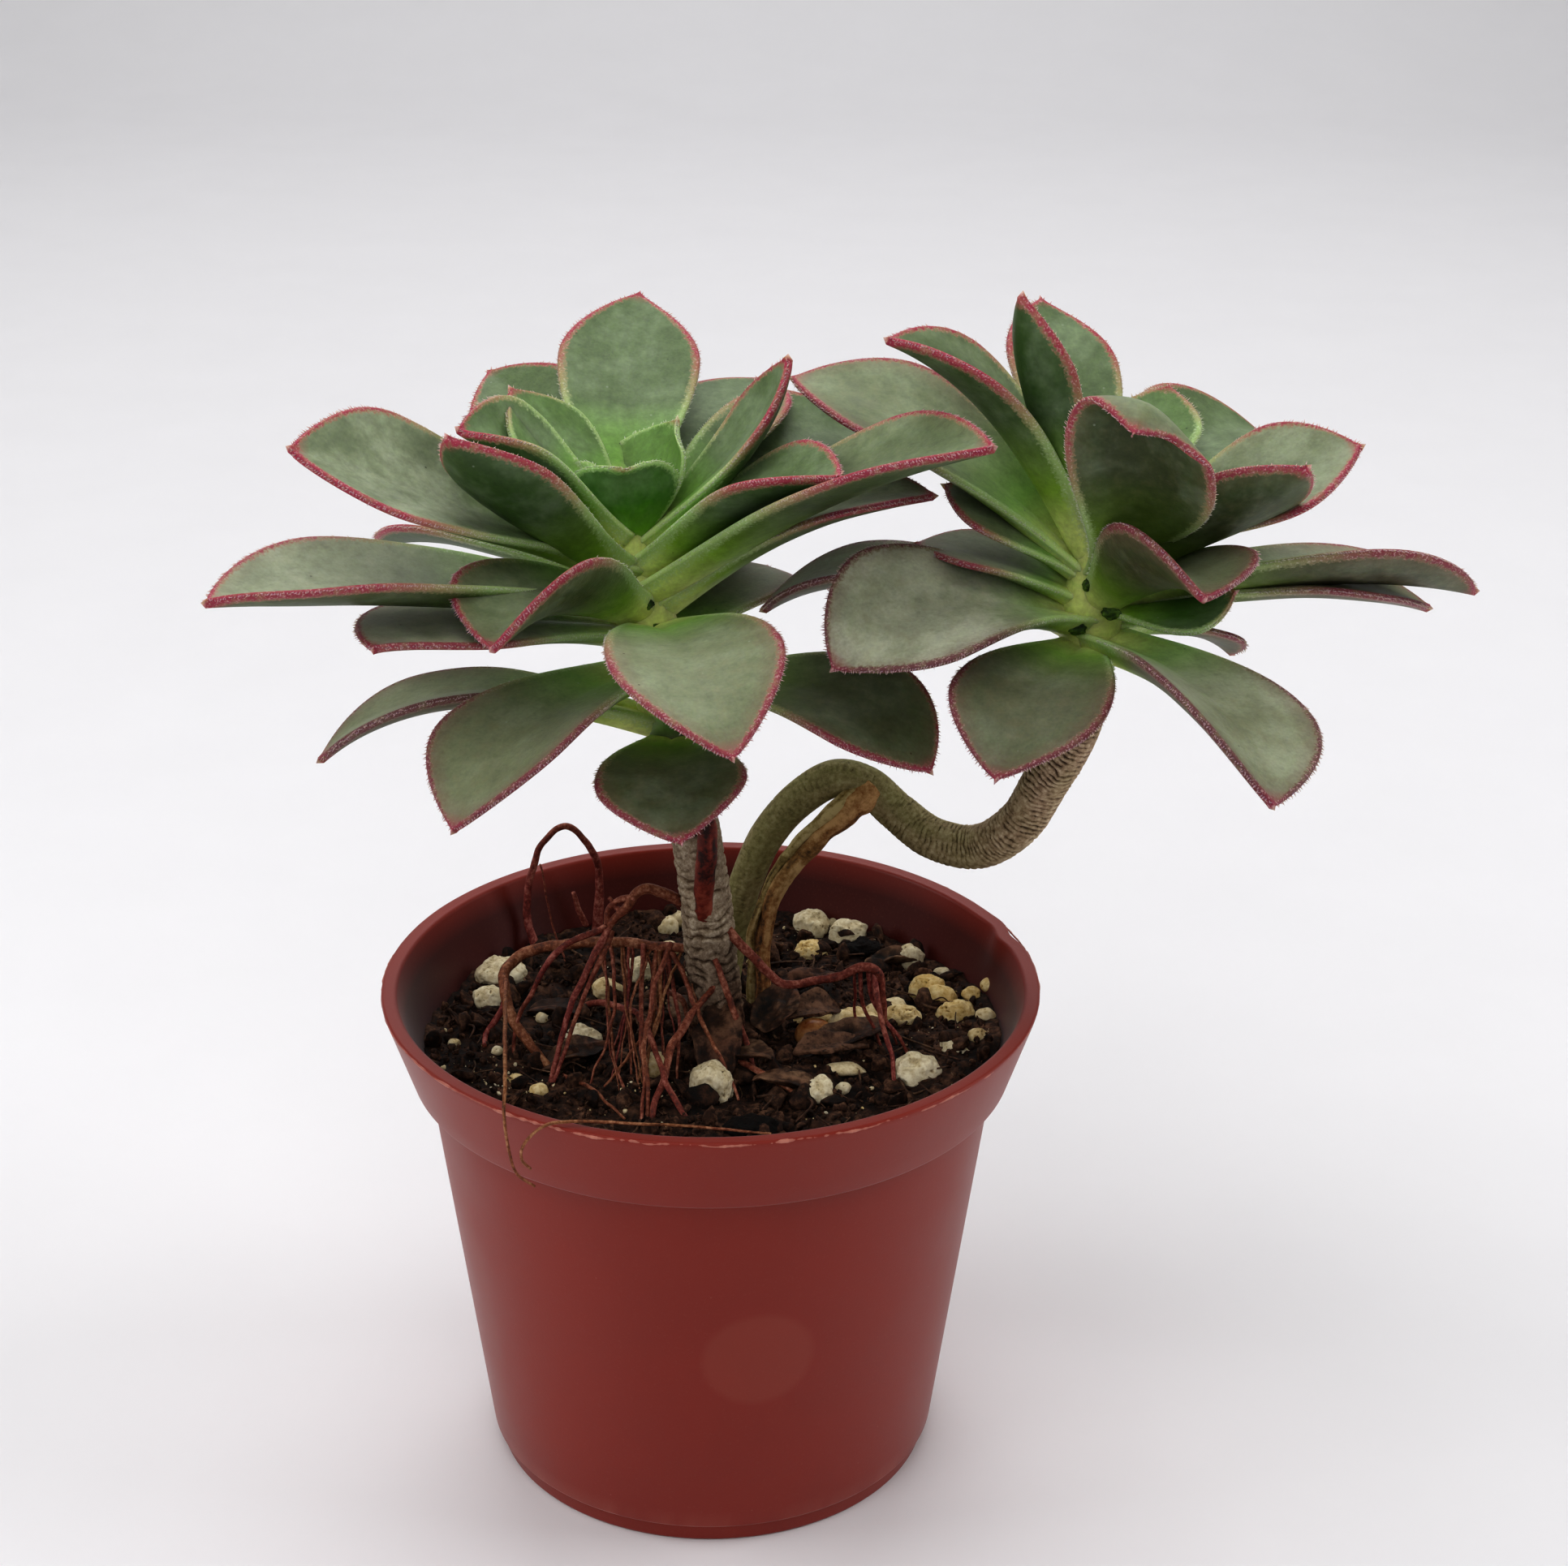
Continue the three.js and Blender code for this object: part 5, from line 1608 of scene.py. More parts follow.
class Pot:
    """The nursery pot: foot, tapered wall, collar and rolled lip, with drain holes in its floor."""

    TOP_RADIUS = 42.5
    HEIGHT = 66.9
    LIP = 2.0
    FOOT_RADIUS = 28.9
    FOOT_STEP_HEIGHT = 2.8
    COLLAR_BOTTOM = 55.8
    COLLAR_RADIUS = 38.9
    COLLAR_WALL = 1.7
    BODY_TOP_RADIUS = 36.85
    WALL = 1.1
    STEP_BOTTOM = 55.4
    STEP_TOP = 57.1
    FLOOR_RADIUS = 27.9
    FLOOR = 2.0
    DRAIN_HOLES = 6
    DRAIN_RADIUS = 3.2
    DRAIN_CIRCLE = 20.0
    DRAFT = 0.2
    SECTORS = 288
    CORNER_POINTS = 6
    LONGEST_FACE = 2.5
    DENT = (40.1, 13.4)  # where the lip is nicked
    BURR_POINTS = 1400
    BURR_SIDES = 8
    BURR_FRONT = math.radians(262)  # the heading where the burr is thickest

    def profile(self) -> tuple[Array, Array]:
        """The pot's section from the axis underneath to the axis on the floor.

        Returns:
            Radius and height of each point, and 1 for each point on the inside.
        """
        corners = [
            (0, 0.5, 0, 0),
            (self.FOOT_RADIUS - 3.4, 0.5, 0.4, 0),
            (self.FOOT_RADIUS - 2.8, 0, 0.2, 0),
            (self.FOOT_RADIUS, 0, 0.5, 0),
            (self.FOOT_RADIUS + self.DRAFT, self.FOOT_STEP_HEIGHT - 0.3, 0.15, 0),
            (self.FOOT_RADIUS + 1, self.FOOT_STEP_HEIGHT, 0.25, 0),
            (self.BODY_TOP_RADIUS, self.COLLAR_BOTTOM - 0.3, 0.3, 0),
            (self.COLLAR_RADIUS, self.COLLAR_BOTTOM, 0.45, 0),
            (self.TOP_RADIUS - 0.2, self.HEIGHT - 0.9, 0.2, 0),
            (self.TOP_RADIUS, self.HEIGHT - 0.1, 0.45, 0),
            (self.TOP_RADIUS - self.LIP, self.HEIGHT - 0.15, 0.5, 0),
            (self.COLLAR_RADIUS - self.COLLAR_WALL, self.STEP_TOP, 0.3, 1),
            (self.BODY_TOP_RADIUS - self.WALL, self.STEP_BOTTOM, 0.3, 1),
            (self.FLOOR_RADIUS, self.FLOOR, 1.0, 1),
            (0, self.FLOOR, 0, 1),
        ]  # radius, height, how far the corner is rounded, and 1 on the inside
        points, inner = [], []
        for i, (radius, height, rounding, side) in enumerate(corners):
            here = np.array([radius, height], float)
            if rounding == 0:
                points.append(here)
                inner.append(side)
                continue
            before = np.array(corners[i - 1][:2], float) - here
            after = np.array(corners[i + 1][:2], float) - here
            start = here + unit(before) * rounding
            end = here + unit(after) * rounding
            for s in np.linspace(0, 1, self.CORNER_POINTS):
                points.append((1 - s) ** 2 * start + 2 * s * (1 - s) * here + s**2 * end)
                inner.append(side)
        dense, dense_inner = [points[0]], [inner[0]]
        for a, b, side in zip(points, points[1:], inner[1:]):
            pieces = max(1, int(np.linalg.norm(b - a) / self.LONGEST_FACE))
            for s in np.linspace(0, 1, pieces + 1)[1:]:
                dense.append(a + (b - a) * s)
                dense_inner.append(side)
        return np.array(dense), np.array(dense_inner, float)

    def shell(self) -> Shell:
        """Turns the section about the axis and gives the plastic its small distortions.

        Returns:
            The pot without its drain holes.
        """
        profile, inner = self.profile()
        rim = profile[1:-1]
        turn = turns(self.SECTORS)
        high = (rim[:, 1] / self.HEIGHT)[:, None]
        oval = 0.12 * high * np.sin(2 * turn + 0.7) + 0.05 * high * np.sin(5 * turn)
        dent_turn = math.atan2(self.DENT[1], self.DENT[0])
        away = (turn - dent_turn) * self.TOP_RADIUS
        nick = np.exp(-((away / 2.2) ** 2)) - 0.45 * np.exp(-(((away - 4) / 2.4) ** 2))
        near_lip = np.clip((rim[:, 1] - 61) / 5, 0, 1)[:, None] ** 2
        radius = rim[:, :1] - oval.clip(0) - 0.5 * nick * near_lip
        height = np.broadcast_to(rim[:, 1:], radius.shape)
        rings = np.stack([radius * np.cos(turn), radius * np.sin(turn), height], axis=-1)
        ends = np.array([0, 0, profile[0, 1]]), np.array([0, 0, profile[-1, 1]])
        shell = skin(rings, ends)
        at_step = np.exp(-(((rim[:, 1] - self.FOOT_STEP_HEIGHT) / 0.22) ** 2))
        at_step = at_step * (rim[:, 0] > self.FOOT_RADIUS)
        around = np.stack([30 * np.cos(turn), 30 * np.sin(turn), 0 * turn], axis=-1)
        worn = np.clip(0.3 + 0.9 * crumpled(around, 3.0, 3), 0, 1)
        scuff = 0.7 * at_step[:, None] * worn
        return shell.marked(
            inner=np.append(np.repeat(inner[1:-1], self.SECTORS), [0, 1]),
            scuff=np.append(scuff.ravel(), [0, 0]),
        )

    def burr(self) -> Shell:
        """The ragged pale burr that trimming left along the lip, thickest at the front.

        Returns:
            A thin ring of uneven thickness.
        """
        count, sides = self.BURR_POINTS, self.BURR_SIDES
        turn = turns(count)
        out = np.stack([np.cos(turn), np.sin(turn), 0 * turn], axis=-1)
        path = out * self.TOP_RADIUS
        ragged = np.clip(0.25 + crumpled(path, 1.8, 11), 0, 1) + 0.5 * np.clip(crumpled(path, 0.5, 12), 0, 1)
        front = 0.45 + 0.55 * np.exp(-(((turn - self.BURR_FRONT) / 0.9) ** 2))
        thick = 0.07 + 0.24 * ragged * front
        high = self.HEIGHT - 0.42 + 0.16 * lumps(path, 2.0, 13)
        line = out * (self.TOP_RADIUS - 0.2) + UP * high[:, None]
        spokes = turns(sides)
        ring = out[:, None] * np.cos(spokes)[None, :, None] + UP * np.sin(spokes)[None, :, None]
        points = (line[:, None] + ring * thick[:, None, None]).reshape(-1, 3)
        faces = lattice(count + 1, sides) % (count * sides)
        scuff = np.repeat(np.clip(0.3 + 0.8 * ragged * front, 0, 1), sides)
        return Shell(points, [faces]).outward().marked(inner=0, scuff=scuff)

    def dress(self) -> None:
        """Builds the pot, drills its drain holes and adds the burr on its lip."""
        plastic = PotFinish().material()
        pot = self.shell().piece("nursery_pot", plastic, Slot.POT_PLASTIC, ["pot"], crease=40)
        turn = turns(40)
        drills = []
        for k in range(self.DRAIN_HOLES):
            place = 2 * math.pi * k / self.DRAIN_HOLES
            middle = np.array([self.DRAIN_CIRCLE * math.cos(place), self.DRAIN_CIRCLE * math.sin(place), 0])
            ring = np.stack([np.cos(turn), np.sin(turn), 0 * turn], axis=-1) * self.DRAIN_RADIUS
            drills.append(skin(np.stack([middle + ring - UP * 3, middle + ring + UP * 6])))
        cutter = Shell.join(drills).piece("drain_drill", plastic, Slot.POT_PLASTIC)
        cut = pot.modifiers.new("drain_holes", "BOOLEAN")
        cut.operation, cut.solver, cut.object = "DIFFERENCE", "EXACT", cutter
        bpy.context.view_layer.update()
        bored = bpy.data.meshes.new_from_object(pot.evaluated_get(bpy.context.evaluated_depsgraph_get()))
        pot.modifiers.clear()
        pot.data = bored
        bpy.data.objects.remove(cutter)
        self.burr().piece("lip_burr", plastic, Slot.POT_PLASTIC)


# ---------------------------------------------------------------- soil and what lies on it


def soil_height(x: Array, y: Array) -> Array:
    """How high the soil stands at a place: low mounds and shallow hollows.

    Args:
        x: Places across, in millimetres.
        y: Places back, in millimetres.

    Returns:
        The height above the table.
    """
    mounds = 0.35 * np.sin(0.31 * x + 1.2) * np.cos(0.27 * y - 0.4)
    crumbs = 0.25 * np.sin(0.9 * x - 0.5 * y) * np.cos(0.7 * y + 0.6 * x)
    return 57.9 + mounds + crumbs + 0.004 * y


@dataclass(frozen=True)
class Grain:
    """A loose piece of grit on the soil: its place, its three sizes, and its tone from white to golden."""

    x: float
    y: float
    size: Point
    tone: float = 0.1


@dataclass(frozen=True)
class Withered:
    """A shrivelled leaf on the soil: where its middle lies, its size, where it points and how it tips."""

    middle: Point
    length: float
    width: float
    heading: float
    tip: float
    seed: int


SMALL_GRAINS = (
    Grain(30.8, 17.9, (2.2, 1.8, 1.6)),
    Grain(34.6, -1.6, (2.6, 2.2, 2.0), 0.6),
    Grain(37.2, 11.6, (3.0, 2.4, 2.2), 0.85),
    Grain(34.4, 9.9, (2.6, 2.2, 2.0), 0.9),
    Grain(14.0, 30.6, (2.0, 1.8, 3.2)),
    Grain(16.2, 33.2, (1.8, 1.6, 2.2)),
    Grain(-14.4, 12.3, (4.2, 3.4, 3.2), 0.5),
    Grain(-2.9, 15.1, (3.4, 2.8, 3.0), 0.4),
    Grain(-6.7, -9.1, (3.6, 3.0, 3.4), 0.6),
    Grain(-5.7, 34.0, (3.0, 2.4, 2.6), 0.3),
    Grain(-7.1, 31.2, (3.4, 3.0, 3.4), 0.3),
    Grain(-6.5, 25.1, (2.8, 2.2, 2.6), 0.3),
    Grain(6.2, 8.7, (6.0, 3.4, 1.1), 0.3),
    Grain(13.6, 5.6, (5.6, 2.2, 1.6), 0.7),
    Grain(23.9, 8.1, (4.4, 3.0, 2.2), 0.4),
    Grain(21.6, 6.4, (3.6, 2.6, 2.4), 0.5),
    Grain(17.3, -8.1, (5.4, 2.4, 1.4), 0.3),
    Grain(30.2, 9.6, (4.6, 3.6, 3.4), 0.95),
    Grain(36.0, 4.5, (2.6, 2.0, 1.8), 0.4),
    Grain(17.0, -13.0, (2.0, 1.6, 1.8)),
    Grain(20.2, 2.4, (2.6, 2.0, 2.0), 0.6),
    Grain(-24.4, -12.4, (2.2, 1.8, 1.6), 0.7),
    Grain(-21.3, -14.6, (2.6, 2.0, 1.8), 0.8),
    Grain(-22.4, 4.4, (1.8, 1.6, 1.6), 0.3),
    Grain(-27.6, -4.2, (1.6, 1.4, 1.2), 0.2),
    Grain(-33.4, -1.8, (1.8, 1.4, 1.4), 0.5),
)
AMBER_PEBBLE = Grain(13.4, 0.8, (4.6, 4.0, 4.0), 1.0)
WITHERED_LEAVES = (
    Withered((12.6, 11.6, 60.2), 9.5, 4.6, 12, 4, 201),
    Withered((24.4, 20.6, 59.2), 8.0, 3.4, -6, 6, 202),
    Withered((17.4, -3.4, 60.0), 12.5, 5.6, 20, 10, 203),
    Withered((8.6, 3.4, 60.6), 8.6, 6.0, 60, 24, 204),
    Withered((4.4, -7.6, 59.8), 9.4, 5.2, -40, 14, 205),
    Withered((9.6, -13.4, 59.0), 9.0, 4.4, -18, 6, 206),
    Withered((-3.8, 4.6, 59.6), 7.0, 4.2, 100, 12, 207),
    Withered((-17.0, -5.6, 58.8), 8.4, 4.4, 20, 4, 208),
    Withered((-20.6, 6.4, 58.6), 7.6, 4.0, -14, 4, 209),
    Withered((1.2, -7.0, 61.6), 12.0, 6.5, 85, 35, 210),
)
GOLDEN_GRAINS = {"pumice_8": 0.9, "pumice_9": 0.95, "pumice_10": 0.9, "pumice_11": 0.7, "pumice_12": 0.6}


class PottingMix:
    """Peat, fibres and pumice grit, with the dead leaves that lie on it."""

    # moist milled peat: nearly black, deepened between its crumbs by painted shade, with brown crests painted
    # lighter as painted light
    PEAT = ReliefFinish(
        "peat_moist",
        ("#060302", "#150b07", "#40271b"),
        ("#0f0705", "#3e261a", "#805c46"),
        roughness=0.8, grain=0.7, relief=0.35, shine=0.16,
    )
    # pumice blown by gas: chalky and dead matt, with darker pits, cream to golden
    PUMICE = ReliefFinish(
        "pumice_expanded",
        ("#5e4c34", "#cebf9c", "#efe6cc"),
        ("#6e5428", "#cba862", "#efd9a2"),
        roughness=0.95, grain=0.8, relief=0.25, shine=0.2,
    )
    # leaves dried on the soil: papery folds, brown, painted darker in the folds as painted shade and paler on
    # the crests as painted highlights
    LITTER = ReliefFinish(
        "leaf_litter_dry",
        ("#0f0704", "#331d13", "#6c4836"),
        ("#150c07", "#4c3424", "#8c6c52"),
        roughness=0.7, grain=1.1, relief=0.35, shine=0.2,
    )
    # a water-worn pebble: smooth, amber, with a soft highlight
    AMBER = ReliefFinish(
        "pebble_amber_smooth",
        ("#33180a", "#7a4420", "#b4824f"),
        roughness=0.4, grain=1.8, relief=0.1,
    )
    RADIUS = 36.75
    WALL_SLOPE = 0.34  # how far the pot's wall leans out for each millimetre of height
    LEVEL = 57.1
    EDGE_ROOM = 0.6  # how far from the wall loose things lie
    SIDE_RINGS = ((27.5, 2.4), (35.4, 55.3), (36.6, 56.4))  # radius and height of the soil's sides
    BED_SECTORS = 460
    BED_ROWS = 130
    # heading, spread and height of the soil heaped against the wall
    DRIFTS = ((8, 34, 1.5), (200, 30, 0.8), (90, 40, 0.6))
    # place and spread of the clusters of fine grit
    CLUSTERS = ((24, 8, 6), (12, 28, 5), (30, 5, 5), (-27, -10, 5), (-23, -14, 4), (4, 30, 5), (-6, -14, 6))
    SHAPES = 6  # how many different lumps the crumbs and chips are copied from
    FINE_CRUMBS = 4200
    COARSE_CRUMBS = 600
    CHIPS = 200
    FIBRES = 170
    FINE_GRIT = 540
    LUMP_SIZE = 0.56  # half a grain's size, and a little for what chipping takes off
    SEED = 77

    def height(self, x: Array, y: Array) -> Array:
        """The crumbly surface that the eye sees, heaped a little against the wall."""
        flat = np.stack([x, y, 0 * x], axis=-1)
        heading = np.degrees(np.arctan2(y, x)) % 360
        near_wall = np.clip((np.hypot(x, y) - 25) / 12, 0, 1) ** 2
        total = soil_height(x, y) + 0.9 * crumpled(flat, 6.0, 61) + 0.7 * crumpled(flat, 2.0, 64)
        for where, spread, rise in self.DRIFTS:
            apart = (heading - where + 180) % 360 - 180
            total = total + rise * near_wall * np.exp(-((apart / spread) ** 2))
        return total

    def bed(self) -> Shell:
        """The body of the soil, its sides along the pot's wall and its top rough with crumbs.

        Returns:
            A closed shell.
        """
        turn = turns(self.BED_SECTORS)
        circle = np.stack([np.cos(turn), np.sin(turn), 0 * turn], axis=-1)
        sides = [circle * radius + UP * height for radius, height in self.SIDE_RINGS]
        shares = np.linspace(1, 0.01, self.BED_ROWS)[:, None]
        flat = shares[..., None] * circle[None] * self.RADIUS
        high = self.height(flat[..., 0], flat[..., 1])
        lean = np.clip(high - self.LEVEL, 0, 9) * self.WALL_SLOPE * np.clip((shares - 0.9) * 10, 0, 1)
        top = flat + circle[None] * lean[..., None] + UP * high[..., None]
        shell = skin(np.concatenate([np.stack(sides), top]))
        relief = 0.4 * crumpled(flat, 2.0, 64) + 0.15 * crumpled(flat, 0.6, 65)
        tone = np.clip(0.4 + 1.1 * crumpled(flat, 5, 66), 0, 1)
        buried = np.zeros(len(sides) * self.BED_SECTORS)
        return shell.marked(
            relief=np.concatenate([buried, relief.ravel(), [0, 0]]),
            tone=np.concatenate([buried, tone.ravel(), [0, 0]]),
        )

    def places(self, count: int, random: Random, clustered: float = 0.0) -> Array:
        """Draws places on the soil.

        Args:
            count: How many.
            random: The random numbers.
            clustered: The share that lies in loose clusters.

        Returns:
            The places, one row each.
        """
        reach = self.RADIUS - self.EDGE_ROOM
        radius = reach * np.sqrt(random.random(count))
        turn = 2 * math.pi * random.random(count)
        x, y = radius * np.cos(turn), radius * np.sin(turn)
        chosen = np.array(self.CLUSTERS)[random.integers(len(self.CLUSTERS), size=count)]
        spread = random.normal(size=(count, 2)) * chosen[:, 2:] * 0.6
        in_reach = np.hypot(*(chosen[:, :2] + spread).T) < reach
        gathered = (random.random(count) < clustered) & in_reach
        x = np.where(gathered, chosen[:, 0] + spread[:, 0], x)
        y = np.where(gathered, chosen[:, 1] + spread[:, 1], y)
        return np.column_stack([x, y, self.height(x, y)])

    def crumbs(
        self,
        count: int,
        sizes: tuple[float, float],
        fineness: int,
        random: Random,
        power: float = 4.0,
        clustered: float = 0.0,
    ) -> Shell:
        """Scatters crumbs over the soil, most of them small.

        Args:
            count: How many.
            sizes: The smallest and the largest half size.
            fineness: How finely each crumb is made.
            random: The random numbers.
            power: How rare the large ones are.
            clustered: The share that lies in loose clusters.

        Returns:
            The crumbs as one shell.
        """
        shells = []
        least, most = sizes
        for kind in range(self.SHAPES):
            base = chipped(ball(fineness), 7, 0.45, 90 + kind)
            creased = crumpled(base.points, 0.7, 80 + kind)
            base.points = base.points * (1 + 0.35 * creased)[:, None]
            number = count // self.SHAPES
            size = least + (most - least) * random.random(number) ** power
            spread = size[:, None] * (0.4 + random.random((number, 3)))
            places = self.places(number, random, clustered)
            places[:, 2] += 0.35 * size
            shell = scattered(base, places, spread, random)
            shells.append(shell.marked(relief=np.tile(0.3 * creased, number)))
        return Shell.join(shells)

    def chips(self, count: int, random: Random) -> Shell:
        """Scatters flat chips of bark and coarse peat, some of them on edge.

        Args:
            count: How many.
            random: The random numbers.

        Returns:
            The chips as one shell.
        """
        shells = []
        for kind in range(self.SHAPES):
            base = chipped(ball(4), 9, 0.5, 40 + kind)
            creased = crumpled(base.points * [1, 3, 3], 1.0, 30 + kind)
            base.points = base.points * (1 + 0.3 * creased)[:, None]
            number = count // self.SHAPES
            size = (0.7 + 1.5 * random.random(number) ** 2)[:, None]
            spread = size * (0.7 + 0.6 * random.random((number, 3))) * [1, 0.6, 0.35]
            shell = scattered(base, self.places(number, random), spread, random)
            shells.append(shell.marked(relief=np.tile(0.35 * creased, number)))
        return Shell.join(shells)

    def fibres(self, count: int, random: Random) -> Shell:
        """Scatters short curved fibres over the soil.

        Args:
            count: How many.
            random: The random numbers.

        Returns:
            The fibres as one shell.
        """
        shells = []
        for place in self.places(count, random):
            heading = 2 * math.pi * random.random()
            run = np.array([math.cos(heading), math.sin(heading), 0.15 * random.normal()])
            bow = np.array([-run[1], run[0], 0.5]) * random.normal() * 0.8
            half = 1 + 2.5 * random.random()
            middle = place * [0.92, 0.92, 1] + UP * 0.4
            route = tuple(map(tuple, [middle - run * half, middle + bow, middle + run * half]))
            thick = 0.08 + 0.12 * random.random()
            shells.append(Strand(route, (thick, thick * 0.6), random.random(), 3, 0.1).shell())
        return Shell.join(shells)

    def popped(self, shell: Shell, rough: float, seed: int) -> Shell:
        """Gives a rounded lump the blistered, pitted skin of expanded rock.

        Args:
            shell: The lump, which is changed.
            rough: Height of the blisters, in millimetres.
            seed: Picks them.

        Returns:
            The same shell with its relief mark.
        """
        chipped(shell, 8, 0.66, seed)
        out = unit(shell.points - shell.points.mean(axis=0))
        random = np.random.default_rng(seed)
        blisters = unit(random.normal(size=(6, 3)))
        reach = 0.35 + 0.3 * random.random(6)
        apart = np.arccos(np.clip(out @ blisters.T, -1, 1))
        bulge = np.max(np.exp(-((apart / reach) ** 2)), axis=1)
        relief = crumpled(shell.points, 1.4, seed)
        pits = np.clip(lumps(shell.points, 0.34, seed + 3) - 0.5, 0, 1)
        shell.points = shell.points + out * (rough * (0.8 * bulge - 0.4 + 0.7 * relief - 1.1 * pits))[:, None]
        # darker towards the bottom of the lump and in its pits
        darker_below = np.clip(-out[:, 2] - 0.1 + 0.4 * relief, 0, 1) * 0.4
        return shell.marked(relief=0.1 + 0.1 * bulge + 0.14 * relief - 0.9 * pits - darker_below)

    def refined(self, node: str, swell: float) -> Shell:
        """Takes one of the frame's plain solids and rounds it with finer faces.

        Args:
            node: The frame's node.
            swell: How much larger it is made, to make up for the rounding.

        Returns:
            The refined shell.
        """
        work = bmesh.new()
        work.from_mesh(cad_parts[node].data)
        bmesh.ops.remove_doubles(work, verts=work.verts, dist=0.01 * MM)
        mesh = bpy.data.meshes.new("refining")
        work.to_mesh(mesh)
        work.free()
        holder = bpy.data.objects.new("refining", mesh)
        bpy.context.scene.collection.objects.link(holder)
        smooth = holder.modifiers.new("round", "SUBSURF")
        smooth.levels = smooth.render_levels = 4
        bpy.context.view_layer.update()
        fine = bpy.data.meshes.new_from_object(holder.evaluated_get(bpy.context.evaluated_depsgraph_get()))
        points = np.array([v.co[:] for v in fine.vertices]) / MM
        faces = np.array([p.vertices[:] for p in fine.polygons])
        bpy.data.objects.remove(holder)
        middle = points.mean(axis=0)
        return Shell(middle + (points - middle) * swell, [faces])

    def lump(self, grain: Grain) -> Shell:
        """Makes a rounded lump that lies half sunk in the soil."""
        shell = ball(4)
        high = self.height(np.array([grain.x]), np.array([grain.y]))[0]
        middle = [grain.x, grain.y, high + 0.2 * grain.size[2]]
        shell.points = shell.points * np.array(grain.size) * self.LUMP_SIZE + middle
        return shell

    def withered(self, leaf: Withered) -> Shell:
        """Makes a shrivelled leaf: a thin blade, folded and crumpled.

        Args:
            leaf: Its place and size.

        Returns:
            A closed shell.
        """
        shell = ball(5)
        unit_ball = shell.points
        across = unit_ball[:, 1]
        sharp = 1 - 0.35 * np.clip(unit_ball[:, 0], 0, 1) ** 2
        x = unit_ball[:, 0] * leaf.length / 2
        y = across * leaf.width / 2 * sharp
        z = unit_ball[:, 2] * 0.45 + 0.9 * np.abs(across) ** 1.5 + 0.25 * np.cos(unit_ball[:, 0] * 2)
        places = np.column_stack([x, y, z])
        flat = np.column_stack([x, y, 0 * x])
        folds = 0.75 * crumpled(flat, 2.6, leaf.seed)
        folds = folds - 0.5 * np.abs(lumps(flat * [0.5, 1, 1], 1.5, leaf.seed + 2))
        places[:, 2] += folds
        places[:, :2] += 0.4 * np.column_stack([lumps(flat, 2.0, leaf.seed + k) for k in (4, 5)])
        heading = Matrix.Rotation(math.radians(leaf.heading), 3, "Z")
        tipping = Matrix.Rotation(math.radians(-leaf.tip), 3, "Y")
        shell.points = places @ np.array(heading @ tipping).T + leaf.middle
        relief = 0.55 * folds + 0.1 + 0.2 * crumpled(flat, 0.7, leaf.seed + 7)
        return shell.marked(relief=relief, tone=np.clip(0.4 + lumps(flat, 4, leaf.seed + 8), 0, 1))

    def dress(self) -> None:
        """Builds the soil and all that lies on it."""
        random = np.random.default_rng(self.SEED)
        peat, litter, pumice = self.PEAT.material(), self.LITTER.material(), self.PUMICE.material()
        self.bed().piece("peat_bed", peat, Slot.PEAT, ["soil"])
        fine = self.crumbs(self.FINE_CRUMBS, (0.12, 0.7), 1, random)
        coarse = self.crumbs(self.COARSE_CRUMBS, (0.4, 1.7), 3, random, power=2.5)
        Shell.join([fine, coarse]).piece("peat_crumbs", peat, Slot.PEAT)
        self.chips(self.CHIPS, random).piece("bark_chips", peat, Slot.PEAT)
        self.fibres(self.FIBRES, random).piece("peat_fibres", litter, Slot.PEAT)
        grit = self.crumbs(self.FINE_GRIT, (0.08, 0.34), 2, random, clustered=0.55)
        grit.marks["relief"] += 0.15
        grit.piece("fine_grit", pumice, Slot.PUMICE)
        lumps_made = [
            self.popped(self.lump(grain), 0.1 * min(grain.size), 300 + k).marked(tone=grain.tone)
            for k, grain in enumerate(SMALL_GRAINS)
        ]
        Shell.join(lumps_made).piece("small_pumice", pumice, Slot.PUMICE)
        pebble = self.lump(AMBER_PEBBLE).marked(relief=0.1, tone=0)
        pebble.piece("amber_pebble", self.AMBER.material(), Slot.PUMICE)
        Shell.join(map(self.withered, WITHERED_LEAVES)).piece("withered_leaves", litter, Slot.DEAD_LEAF)
        for k, node in enumerate(sorted(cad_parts)):
            kind = node.rsplit("_", 1)[0]
            if kind == "pumice":
                tone = GOLDEN_GRAINS.get(node, 0.12)
                grain = self.popped(self.refined(node, 1.55), 0.6, 100 + k).marked(tone=tone)
                grain.piece(node + "_grain", pumice, Slot.PUMICE, [node])
            elif kind == "peat_lump":
                clod = self.popped(self.refined(node, 1.1), 0.6, 100 + k).marked(tone=0)
                clod.marks["relief"] -= 0.3
                clod.piece(node + "_clod", peat, Slot.PEAT, [node])
            elif kind == "dead_leaf":
                dead = self.popped(self.refined(node, 1.05), 0.4, 100 + k).marked(tone=0.3)
                dead.piece(node + "_blade", litter, Slot.DEAD_LEAF, [node])


# ---------------------------------------------------------------- studio


